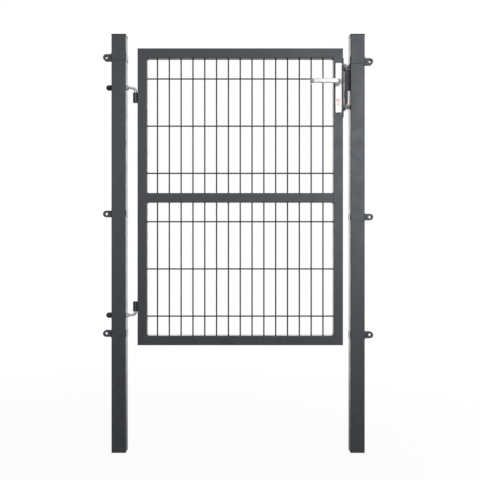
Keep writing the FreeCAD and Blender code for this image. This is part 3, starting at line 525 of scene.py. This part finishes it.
class GATE_OT_finish_nodes(GateStep, bpy.types.Operator):
    """Give every piece of the bare gate its finish"""
    bl_idname = "gate.finish_nodes"
    bl_label = "Finish the bare pieces"

    def make(self, context, sizes):
        slots = {row["node"]: row["material_slot"] for row in frame["record"]["subparts"]}
        for node, item in frame["nodes"].items():
            material = finish_for(slots[node], context)
            for material_slot in item.material_slots:
                material_slot.material = material
            if not item.material_slots:
                item.data.materials.append(material)


class GATE_OT_hinge_rods(GateStep, bpy.types.Operator):
    """Make the bent hinge rods with their rolled thread"""
    bl_idname = "gate.hinge_rods"
    bl_label = "Hinge rods"

    def thread(self, start, end, sizes, z):
        """Helical thread between two places along X."""
        pitch = sizes.thread_pitch
        crest = sizes.rod_radius - 0.00002
        root = crest - sizes.thread_depth
        spare_turns = 2
        turns = int((end - start) / pitch) + spare_turns
        steps_a_turn = 24
        shape = bmesh.new()
        profile = [(0.0, root), (pitch * 0.18, root), (pitch * 0.44, crest), (pitch * 0.60, crest),
                   (pitch * 0.86, root), (pitch, root)]
        verts = [shape.verts.new((start - pitch + x, 0.0, radius)) for x, radius in profile]
        edges = [shape.edges.new(pair) for pair in zip(verts, verts[1:])]
        bmesh.ops.spin(shape, geom=verts + edges, cent=(0, 0, 0), axis=X_AXIS,
                       dvec=X_AXIS * pitch / steps_a_turn, angle=FULL_TURN * turns,
                       steps=steps_a_turn * turns, use_merge=False)
        bmesh.ops.remove_doubles(shape, verts=shape.verts[:], dist=pitch * 0.01)
        for place, side in ((start, -1), (end, 1)):
            geom = shape.verts[:] + shape.edges[:] + shape.faces[:]
            cut = bmesh.ops.bisect_plane(shape, geom=geom, plane_co=(place, 0, 0),
                                         plane_no=X_AXIS * side, clear_outer=True)
            rim = [item for item in cut["geom_cut"] if isinstance(item, bmesh.types.BMEdge)]
            bmesh.ops.edgeloop_fill(shape, edges=rim)
        outwards(shape)
        bmesh.ops.translate(shape, verts=shape.verts[:], vec=(0, 0, z))
        return shape

    def rod(self, node, nut_end, sizes, up):
        """Rod from its outer end, through the post, round the bend and down its pin."""
        low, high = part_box(node)
        radius = sizes.rod_radius
        bend = sizes.rod_bend
        rod_z = low.z + radius if up > 0 else high.z - radius
        pin_end = high.z if up > 0 else low.z
        bend_start = high.x - radius - bend
        thread_start = low.x + 0.0006
        thread_end = nut_end + sizes.thread_reach
        core = (radius - sizes.thread_depth - 0.0002) / radius
        end_share = 0.94
        end_edge = 0.0008
        run_out = 0.0012
        tip_edge = 0.0012
        tip_share = 0.82
        bend_steps = 14
        shape = bmesh.new()
        ring = round_ring(radius * core * end_share, Y_AXIS, Z_AXIS)
        sweep = Sweep(shape, (low.x, 0, rod_z), X_AXIS, ring)
        sweep.straight(end_edge, 1 / end_share)
        sweep.straight(thread_end - run_out / 2 - low.x - end_edge)
        sweep.straight(run_out, 1 / core)
        sweep.straight(bend_start - thread_end - run_out / 2)
        pivot = Vector((bend_start, 0, rod_z + up * bend))
        sweep.turn(pivot, Y_AXIS, -up * QUARTER, bend_steps)
        sweep.straight(abs(pin_end - rod_z) - bend - tip_edge)
        sweep.straight(tip_edge, tip_share)
        sweep.close()
        outwards(shape)
        return [shape, self.thread(thread_start, thread_end, sizes, rod_z)]

    def make(self, context, sizes):
        nut_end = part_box("hinge_inner_nuts")[1].x
        for node, up in (("upper_hinge_rod", -1), ("lower_hinge_rod", 1)):
            parts = self.rod(node, nut_end, sizes, up)
            piece(context, "threaded_" + node, joined(parts), "posts", "zinc_steel", [node])


class GATE_OT_nuts(GateStep, bpy.types.Operator):
    """Make the chamfered nuts on the hinge rods and behind the strike"""
    bl_idname = "gate.nuts"
    bl_label = "Nuts"

    def make(self, context, sizes):
        rod_heights = [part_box("upper_hinge_rod")[1].z - sizes.rod_radius,
                       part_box("lower_hinge_rod")[0].z + sizes.rod_radius]
        for node in ("hinge_inner_nuts", "hinge_outer_nuts"):
            low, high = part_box(node)
            width = high.z - low.z - (rod_heights[0] - rod_heights[1])
            parts = [nut(width, high.x - low.x, sizes.rod_radius, sizes.nut_chamfer,
                         (low.x, 0, z), X_AXIS) for z in rod_heights]
            piece(context, node.replace("hinge", "chamfered"), joined(parts), "posts",
                  "zinc_steel", [node], 25.0)
        low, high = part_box("strike_lock_nuts")
        bush_low, bush_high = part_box("strike_spacer_bushes")
        bore = (bush_high.y - bush_low.y) / 2
        rise = (bush_high.z - bush_low.z) - 2 * bore
        middle = (low.z + high.z) / 2
        width = high.z - low.z - rise
        thickness = 0.005
        parts = []
        for z in (middle - rise / 2, middle + rise / 2):
            for x in (low.x, high.x - thickness):
                parts.append(nut(width, thickness, bore, sizes.nut_chamfer, (x, 0, z), X_AXIS))
        piece(context, "chamfered_strike_nuts", joined(parts), "posts", "zinc_steel",
              ["strike_lock_nuts"], 25.0)


class GATE_OT_lever(GateStep, bpy.types.Operator):
    """Make the lever: a turned hub and a flat oval arm with a rounded return"""
    bl_idname = "gate.lever"
    bl_label = "Lever"

    def hub(self, place, sizes):
        """Turned hub with a shallow groove next to the cover plate."""
        long = 0.015
        bore = 0.0052
        radius = sizes.lever_hub
        outline = grooved_collar(radius, bore)
        outline += [(long - 0.0020, radius), (long - 0.0007, radius - 0.0006),
                    (long, radius - 0.0022), (long, bore)]
        return turned(outline, place, -Y_AXIS, 64)

    def arm(self, middle, low, high, sizes):
        """Oval arm from inside the hub, round two bends, to its domed end behind the tip."""
        thick = sizes.lever_thickness
        bend = sizes.lever_bend
        arm_height = 0.020
        hub_overlap = 0.008
        return_length = 0.030
        dome = 0.004
        dome_steps = 6
        arm_y = low.y + thick / 2
        tip_x = low.x + thick / 2
        start = Vector((middle.x, high.y - hub_overlap, middle.z))
        shape = bmesh.new()
        sweep = Sweep(shape, start, -Y_AXIS, oval_ring(thick, arm_height, X_AXIS, Z_AXIS))
        sweep.straight(start.y - arm_y - bend)
        sweep.turn(Vector((middle.x - bend, arm_y + bend, middle.z)), Z_AXIS, -QUARTER, BEND_STEPS)
        sweep.straight(middle.x - tip_x - 2 * bend)
        sweep.turn(Vector((tip_x + bend, arm_y + bend, middle.z)), Z_AXIS, -QUARTER, BEND_STEPS)
        sweep.straight(low.y + return_length - dome - arm_y - bend)
        sweep.dome(dome, dome_steps)
        sweep.close()
        return outwards(shape)

    def make(self, context, sizes):
        low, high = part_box("front_lever")
        spindle_low, spindle_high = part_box("spindle")
        middle = (spindle_low + spindle_high) / 2
        parts = [self.arm(middle, low, high, sizes),
                 self.hub((middle.x, high.y, middle.z), sizes)]
        piece(context, "oval_lever", joined(parts), "handle", "silver_aluminium",
              ["front_lever"])


class GATE_OT_screw_heads(GateStep, bpy.types.Operator):
    """Make the socket heads of the cover plate, strike and forend screws"""
    bl_idname = "gate.screw_heads"
    bl_label = "Screw heads"

    def screw(self, seat, axis, head, shank):
        """Socket head with its underside at a seat, and its shank along an axis."""
        radius, long, tip_edge, bore = shank
        overlap = 0.0001
        outline = [(0.0, bore), (0.0, radius), (long - tip_edge, radius), (long, radius * 0.8),
                   (long, bore)]
        seat = Vector(seat)
        return [socket_head(*head, seat, -axis), turned(outline, seat - axis * overlap, axis, 24)]

    def plate_screws(self, context):
        """Two screws through the front cover plate."""
        low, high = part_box("cover_plate_screws")
        radius = (high.x - low.x) / 2
        middle_x = (low.x + high.x) / 2
        height = 0.0016
        head = (radius, height, 0.003, 0.0011, 0.0004)
        shank = (0.0025, 0.0508, 0.0008, 0.0004)
        parts = []
        for z in (low.z + radius, high.z - radius):
            parts += self.screw((middle_x, low.y + height, z), Y_AXIS, head, shank)
        piece(context, "socket_plate_screws", joined(parts), "leaf", "zinc_steel",
              ["cover_plate_screws"], 30.0)

    def strike_screws(self, context):
        """Two screws through the strike into the latch post."""
        low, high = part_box("strike_screws")
        radius = (high.y - low.y) / 2
        height = 0.0036
        head = (radius, height, 0.005, 0.002, 0.0012)
        shank = (0.004, high.x - low.x - height, 0.001, 0.0005)
        parts = []
        for z in (low.z + radius, high.z - radius):
            parts += self.screw((low.x + height, 0, z), X_AXIS, head, shank)
        piece(context, "socket_strike_screws", joined(parts), "posts", "zinc_steel",
              ["strike_screws"], 30.0)

    def forend_screws(self, context):
        """Two forend screws and the long screw that holds the cylinder."""
        low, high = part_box("forend_screws")
        radius = (high.y - low.y) / 2
        parts = [self.countersunk((high.x, 0, z), radius, high.x - low.x)
                 for z in (low.z + radius, high.z - radius)]
        piece(context, "countersunk_forend_screws", joined(parts), "leaf", "zinc_steel",
              ["forend_screws"], 30.0)
        low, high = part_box("cylinder_fixing_screw")
        fixing = self.countersunk((high.x, 0, (low.z + high.z) / 2), radius, high.x - low.x)
        piece(context, "countersunk_cylinder_screw", fixing, "leaf", "zinc_steel",
              ["cylinder_fixing_screw"], 30.0)

    def countersunk(self, face, radius, long):
        """Countersunk screw whose flat head faces +X."""
        shank = 0.0025
        socket_depth = 0.0018
        edge = 0.0003
        bore = constant(0.0003)

        def socket(angle):
            return hexagon_radius(angle, 0.003)

        rings = [(socket_depth, bore), (socket_depth, socket), (0.0, socket),
                 (0.0, constant(radius - edge)), (edge, constant(radius)),
                 (0.0022, constant(shank)), (long - 0.001, constant(shank)),
                 (long, constant(shank * 0.7)), (long, bore)]
        return lathe(rings, face, -X_AXIS, 36)

    def make(self, context, sizes):
        self.plate_screws(context)
        self.strike_screws(context)
        self.forend_screws(context)


class GATE_OT_frame_welds(GateStep, bpy.types.Operator):
    """Lay the weld beads of the leaf's frame and of the hinge sleeves"""
    bl_idname = "gate.frame_welds"
    bl_label = "Frame welds"

    def bead(self, start, end, radius, ripple=0.0016, swell=0.12):
        """Rippled bead between two points, half as thick at both ends."""
        start = Vector(start)
        run = Vector(end) - start
        steps = max(4, int(run.length / ripple) * 2)
        end_size = 0.5
        across = run.orthogonal().normalized()
        up = run.normalized().cross(across)
        shape = bmesh.new()
        sweep = Sweep(shape, start, run, round_ring(radius * end_size, across, up, 12))
        size = end_size
        for step in range(1, steps + 1):
            ends = min(step, steps - step)
            wanted = end_size if ends == 0 else 1.0 - (swell if step % 2 else 0.0)
            sweep.straight(run.length / steps, wanted / size)
            size = wanted
        sweep.close()
        return outwards(shape)

    def corner_beads(self, sizes):
        """Beads across the inner corners of both fields."""
        low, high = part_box("leaf_mid_rail")
        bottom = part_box("leaf_bottom_rail")[1].z
        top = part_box("leaf_top_rail")[0].z
        half_run = high.y - 0.001
        beads = []
        for z in (bottom, low.z, high.z, top):
            for x in (low.x, high.x):
                beads.append(self.bead((x, -half_run, z), (x, half_run, z), sizes.corner_bead))
        return beads

    def mitre_seams(self, sizes):
        """Dressed seams on both faces of the four mitres."""
        outer_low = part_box("leaf_hinge_stile")[0]
        outer_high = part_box("leaf_latch_stile")[1]
        tube = outer_high.y - outer_low.y
        radius = 0.0022
        depth = outer_high.y - radius + sizes.seam_rise
        margin = 0.0015
        seams = []
        for x, inward in ((outer_low.x, 1), (outer_high.x, -1)):
            for z, rise in ((outer_low.z, 1), (outer_high.z, -1)):
                for y in (-depth, depth):
                    start = (x + inward * margin, y, z + rise * margin)
                    end = (x + inward * (tube - margin), y, z + rise * (tube - margin))
                    seams.append(self.bead(start, end, radius, ripple=0.004, swell=0.04))
        return seams

    def rail_seams(self, sizes):
        """Dressed seams on both faces where the middle rail meets the stiles."""
        low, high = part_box("leaf_mid_rail")
        radius = 0.0016
        depth = high.y - radius + sizes.seam_rise
        seams = []
        for x in (low.x, high.x):
            for y in (-depth, depth):
                seams.append(self.bead((x, y, low.z + 0.001), (x, y, high.z - 0.001), radius,
                                       ripple=0.004, swell=0.04))
        return seams

    def sleeve_beads(self):
        """Fillet beads on both sides of each hinge sleeve."""
        beads = []
        for node in ("upper_hinge_sleeve", "lower_hinge_sleeve"):
            low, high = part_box(node)
            x = high.x - 0.0010
            for y in (-0.0052, 0.0052):
                start = (x, y, low.z + 0.002)
                beads.append(self.bead(start, (x, y, high.z - 0.002), 0.0019))
        return beads

    def make(self, context, sizes):
        welds = {"corner_weld_beads": self.corner_beads(sizes),
                 "mitre_weld_seams": self.mitre_seams(sizes),
                 "mid_rail_weld_seams": self.rail_seams(sizes),
                 "sleeve_weld_beads": self.sleeve_beads()}
        for name, beads in welds.items():
            piece(context, name, joined(beads), "leaf", "anthracite_powder_coat",
                  smooth_below=60.0)


class GATE_OT_wires(GateStep, bpy.types.Operator):
    """Draw the round wires of both mesh fields"""
    bl_idname = "gate.wires"
    bl_label = "Mesh wires"

    def wire(self, low, high, axis):
        """Round wire filling its box along an axis."""
        middle = (low + high) / 2
        half_run = axis * (high - low).dot(axis) / 2
        radius = (high.y - low.y) / 2
        shape = bmesh.new()
        ring = round_ring(radius, Y_AXIS, axis.cross(Y_AXIS), 16)
        sweep = Sweep(shape, middle - half_run, axis, ring)
        sweep.straight((half_run * 2).length)
        sweep.close()
        return outwards(shape)

    def make(self, context, sizes):
        for field in ("upper", "lower"):
            for kind, axis in (("uprights", Z_AXIS), ("crosswires", X_AXIS)):
                node = field + "_mesh_" + kind
                wires = [self.wire(low, high, axis) for low, high in separate_boxes(node)]
                piece(context, "drawn_" + node, joined(wires), "leaf",
                      "anthracite_powder_coat", [node], 60.0)


class GATE_OT_turned_parts(GateStep, bpy.types.Operator):
    """Turn the hinge sleeves, the washers, the nut caps and the rear spindle collar"""
    bl_idname = "gate.turned_parts"
    bl_label = "Turned parts"

    def sleeves(self, context, sizes):
        """Bored sleeves with broken edges."""
        edge = 0.0006
        bore = sizes.rod_radius + 0.0001
        for node in ("upper_hinge_sleeve", "lower_hinge_sleeve"):
            low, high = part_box(node)
            radius = (high.y - low.y) / 2
            long = high.z - low.z
            lower = [(edge, bore), (0.0, bore + edge), (0.0, radius - edge), (edge, radius)]
            upper = [(long - height, across) for height, across in reversed(lower)]
            sleeve = turned(lower + upper, (low.x + radius, 0, low.z), Z_AXIS, 64)
            piece(context, "turned_" + node, sleeve, "leaf", "anthracite_powder_coat", [node],
                  25.0)

    def washers(self, context, sizes):
        """Punched washers, rounded on the side they were punched from."""
        edge = 0.0005
        bore = sizes.rod_radius + 0.0002
        for node, side in (("hinge_inner_washers", 1), ("hinge_outer_washers", -1)):
            parts = []
            for low, high in separate_boxes(node):
                thick = high.x - low.x
                radius = (high.y - low.y) / 2
                face = low.x if side > 0 else high.x
                outline = [(0.0, bore), (0.0, radius), (thick - edge, radius),
                           (thick - edge * 0.3, radius - edge * 0.3), (thick, radius - edge),
                           (thick, bore)]
                parts.append(turned(outline, (face, 0, (low.z + high.z) / 2), X_AXIS * side, 64))
            piece(context, node.replace("hinge", "punched"), joined(parts), "posts",
                  "zinc_steel", [node], 25.0)

    def nut_caps(self, context):
        """Moulded caps with a skirt, a short straight wall and a dome."""
        bore = 0.0003
        skirt = 0.0007
        dome_steps = 10
        parts = []
        for low, high in separate_boxes("hinge_nut_caps"):
            radius = (high.y - low.y) / 2
            inner = radius - skirt
            long = high.x - low.x
            wall = long - radius * 0.92
            outline = [(0.0, bore), (0.0, radius - 0.0003), (0.0003, radius), (0.0016, radius),
                       (0.0020, inner), (wall, inner)]
            for step in range(1, dome_steps):
                angle = QUARTER * step / dome_steps
                outline.append((wall + (long - wall) * math.sin(angle), inner * math.cos(angle)))
            outline.append((long, bore))
            parts.append(turned(outline, (high.x, 0, (low.z + high.z) / 2), -X_AXIS))
        piece(context, "moulded_nut_caps", joined(parts), "posts", "black_plastic",
              ["hinge_nut_caps"], 35.0)

    def rear_collar(self, context):
        """Collar that keeps the spindle on the rear plate."""
        low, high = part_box("rear_spindle_collar")
        radius = (high.x - low.x) / 2
        long = high.y - low.y
        bore = 0.0003
        outline = grooved_collar(radius, bore)
        outline += [(long - 0.0018, radius), (long - 0.0006, radius - 0.0005),
                    (long, radius - 0.0018), (long, bore)]
        middle = (low + high) / 2
        collar = turned(outline, (middle.x, low.y, middle.z), Y_AXIS, 64)
        piece(context, "turned_rear_collar", collar, "handle", "silver_aluminium",
              ["rear_spindle_collar"], 25.0)

    def make(self, context, sizes):
        self.sleeves(context, sizes)
        self.washers(context, sizes)
        self.nut_caps(context)
        self.rear_collar(context)


class GATE_OT_wire_welds(GateStep, bpy.types.Operator):
    """Set the welds at the ends and crossings of the mesh wires"""
    bl_idname = "gate.wire_welds"
    bl_label = "Wire welds"

    def blob(self, whole, place, size, fineness):
        """Flattened ball at a place."""
        matrix = Matrix.Translation(place) @ Matrix.Diagonal((*size, 1.0))
        bmesh.ops.create_icosphere(whole, subdivisions=fineness, radius=1.0, matrix=matrix)

    def end_welds(self, uprights, crosswires, reach):
        """Blobs where the wires end in the frame."""
        flat = reach * 0.55
        whole = bmesh.new()
        for low, high in uprights:
            middle = (low + high) / 2
            for z in (low.z, high.z):
                self.blob(whole, (middle.x, middle.y, z), (reach, reach, flat), 2)
        for low, high in crosswires:
            middle = (low + high) / 2
            for x in (low.x, high.x):
                self.blob(whole, (x, middle.y, middle.z), (flat, reach, reach), 2)
        return whole

    def crossing_welds(self, uprights, crosswires):
        """Few-faced squeeze marks where two wires cross."""
        whole = bmesh.new()
        for up_low, up_high in uprights:
            for cross_low, cross_high in crosswires:
                x = (up_low.x + up_high.x) / 2
                y = (up_high.y + cross_low.y) / 2
                z = (cross_low.z + cross_high.z) / 2
                self.blob(whole, (x, y, z), (0.0030, 0.0016, 0.0030), 1)
        return whole

    def make(self, context, sizes):
        for field in ("upper", "lower"):
            uprights = separate_boxes(field + "_mesh_uprights")
            crosswires = separate_boxes(field + "_mesh_crosswires")
            ends = self.end_welds(uprights, crosswires, sizes.wire_blob)
            piece(context, field + "_wire_end_welds", ends, "leaf",
                  "anthracite_powder_coat", smooth_below=80.0)
            marks = self.crossing_welds(uprights, crosswires)
            piece(context, field + "_wire_crossing_welds", marks, "leaf",
                  "anthracite_powder_coat", smooth_below=80.0)


class GATE_OT_studio(GateStep, bpy.types.Operator):
    """Set the floor, the soft light and the camera"""
    bl_idname = "gate.studio"
    bl_label = "Studio"

    def backdrop(self, context):
        """Plain pale floor and surroundings that show only to the camera."""
        reach = 30.0
        floor = bmesh.new()
        bmesh.ops.create_circle(floor, cap_ends=True, segments=96, radius=reach)
        dome = bmesh.new()
        bmesh.ops.create_uvsphere(dome, u_segments=64, v_segments=32, radius=reach)
        for name, shape in (("floor", floor), ("surround", dome)):
            mesh = bpy.data.meshes.new(name)
            shape.to_mesh(mesh)
            shape.free()
            mesh.materials.append(self.pale("pale_" + name, name == "floor"))
            stage = bpy.data.objects.new(name, mesh)
            stage.visible_diffuse = False
            stage.visible_glossy = False
            stage.visible_shadow = False
            stage.visible_transmission = False
            context.scene.collection.objects.link(stage)

    def pale(self, name, shaded):
        """White that glows by itself; the floor also takes a little shade near the posts."""
        material = bpy.data.materials.new(name)
        material.use_nodes = True
        tree = material.node_tree
        tree.nodes.clear()
        output = tree.nodes.new("ShaderNodeOutputMaterial")
        glow = tree.nodes.new("ShaderNodeEmission")
        glow.inputs["Color"].default_value = (1.0, 1.0, 1.0, 1.0)
        glow.inputs["Strength"].default_value = 1.0
        if not shaded:
            tree.links.new(glow.outputs["Emission"], output.inputs["Surface"])
            return material
        matt = tree.nodes.new("ShaderNodeBsdfDiffuse")
        matt.inputs["Color"].default_value = (0.9, 0.9, 0.9, 1.0)
        place = tree.nodes.new("ShaderNodeTexCoord")
        distance = tree.nodes.new("ShaderNodeVectorMath")
        distance.operation = "LENGTH"
        tree.links.new(place.outputs["Object"], distance.inputs[0])
        fade = tree.nodes.new("ShaderNodeMapRange")
        fade.inputs["From Min"].default_value = 0.9
        fade.inputs["From Max"].default_value = 2.2
        fade.inputs["To Min"].default_value = 0.08
        fade.inputs["To Max"].default_value = 0.0
        tree.links.new(distance.outputs["Value"], fade.inputs["Value"])
        mix = tree.nodes.new("ShaderNodeMixShader")
        tree.links.new(fade.outputs["Result"], mix.inputs["Fac"])
        tree.links.new(glow.outputs["Emission"], mix.inputs[1])
        tree.links.new(matt.outputs["BSDF"], mix.inputs[2])
        tree.links.new(mix.outputs["Shader"], output.inputs["Surface"])
        return material

    def smooth_step(self, tree, value, start, end, low, high):
        """Value eased from low to high while the input runs from start to end."""
        node = tree.nodes.new("ShaderNodeMapRange")
        node.interpolation_type = "SMOOTHSTEP"
        node.inputs["From Min"].default_value = start
        node.inputs["From Max"].default_value = end
        node.inputs["To Min"].default_value = low
        node.inputs["To Max"].default_value = high
        tree.links.new(value, node.inputs["Value"])
        return node.outputs["Result"]

    def towards(self, tree, place, direction):
        """How far a direction of view turns towards another."""
        node = tree.nodes.new("ShaderNodeVectorMath")
        node.operation = "DOT_PRODUCT"
        node.inputs[1].default_value = Vector(direction).normalized()
        tree.links.new(place, node.inputs[0])
        return node.outputs["Value"]

    def combined(self, tree, operation, first, second):
        """Two values put together by a math operation."""
        node = tree.nodes.new("ShaderNodeMath")
        node.operation = operation
        tree.links.new(first, node.inputs[0])
        tree.links.new(second, node.inputs[1])
        return node.outputs["Value"]

    def soft_room(self, context):
        """Dim room with a broad soft light behind and a band of soft light in front."""
        world = bpy.data.worlds.new("soft_room")
        context.scene.world = world
        world.use_nodes = True
        tree = world.node_tree
        background = tree.nodes["Background"]
        background.inputs["Color"].default_value = (0.98, 0.99, 1.0, 1.0)
        place = tree.nodes.new("ShaderNodeTexCoord").outputs["Generated"]
        parts = tree.nodes.new("ShaderNodeSeparateXYZ")
        tree.links.new(place, parts.inputs["Vector"])
        front = self.towards(tree, place, (0.0, -1.0, 0.0))
        height = parts.outputs["Z"]
        side = parts.outputs["X"]
        lit = self.smooth_step(tree, front, 0.75, 0.95, 0.0, 2.45)
        fades = ((height, -0.17, 0.17, 0.0, 1.0), (height, 0.16, 0.36, 1.0, 0.2),
                 (side, 0.05, 0.24, 0.38, 2.75), (side, -0.24, -0.10, 2.3, 1.0))
        for fade in fades:
            lit = self.combined(tree, "MULTIPLY", lit, self.smooth_step(tree, *fade))
        rear = self.towards(tree, place, (0.0, 1.0, 0.05))
        rear_light = self.smooth_step(tree, rear, 0.72, 0.97, 0.0, 2.1)
        lower_rear = self.smooth_step(tree, height, -0.30, -0.05, 0.0, 1.0)
        behind = self.combined(tree, "MULTIPLY", rear_light, lower_rear)
        above = self.smooth_step(tree, height, 0.45, 0.95, 0.0, 0.9)
        below = self.smooth_step(tree, height, -0.95, -0.45, 0.45, 0.0)
        total = tree.nodes.new("ShaderNodeValue").outputs["Value"]
        total.default_value = 0.17
        for share in (lit, behind, above, below):
            total = self.combined(tree, "ADD", total, share)
        tree.links.new(total, background.inputs["Strength"])

    def camera(self, context, sizes):
        """Level camera in front of the gate."""
        data = bpy.data.cameras.new("gate_camera")
        data.sensor_width = 36.0
        data.lens = 54.9
        item = bpy.data.objects.new("gate_camera", data)
        item.location = (sizes.camera_side, -sizes.camera_distance, sizes.camera_height)
        item.rotation_euler = (QUARTER, 0.0, 0.0)
        context.scene.collection.objects.link(item)
        context.scene.camera = item

    def make(self, context, sizes):
        self.camera(context, sizes)
        self.backdrop(context)
        self.soft_room(context)
        context.scene.view_settings.view_transform = "Standard"


class GATE_PT_steps(bpy.types.Panel):
    """Lists the steps of the finish."""
    bl_label = "Garden gate"
    bl_idname = "GATE_PT_steps"
    bl_space_type = "VIEW_3D"
    bl_region_type = "UI"
    bl_category = "Gate"

    def draw(self, context):
        for step in STEPS:
            self.layout.operator(step.bl_idname)
        for group in (context.scene.gate_sizes, context.scene.gate_colours):
            box = self.layout.box()
            for name in group.bl_rna.properties.keys():
                if name not in ("rna_type", "name"):
                    box.prop(group, name)


STEPS = (GATE_OT_studio, GATE_OT_finish_nodes, GATE_OT_hinge_rods, GATE_OT_nuts, GATE_OT_lever,
         GATE_OT_screw_heads, GATE_OT_turned_parts, GATE_OT_frame_welds, GATE_OT_wires,
         GATE_OT_wire_welds)
CLASSES = (GateSizes, GateColours, *STEPS, GATE_PT_steps)


def register():
    for item in CLASSES:
        bpy.utils.register_class(item)
    bpy.types.Scene.gate_sizes = bpy.props.PointerProperty(type=GateSizes)
    bpy.types.Scene.gate_colours = bpy.props.PointerProperty(type=GateColours)


def unregister():
    del bpy.types.Scene.gate_colours
    del bpy.types.Scene.gate_sizes
    for item in reversed(CLASSES):
        bpy.utils.unregister_class(item)


def main():
    register()
    for step in STEPS:
        group, name = step.bl_idname.split(".")
        getattr(getattr(bpy.ops, group), name)()


if __name__ == "__main__":
    main()
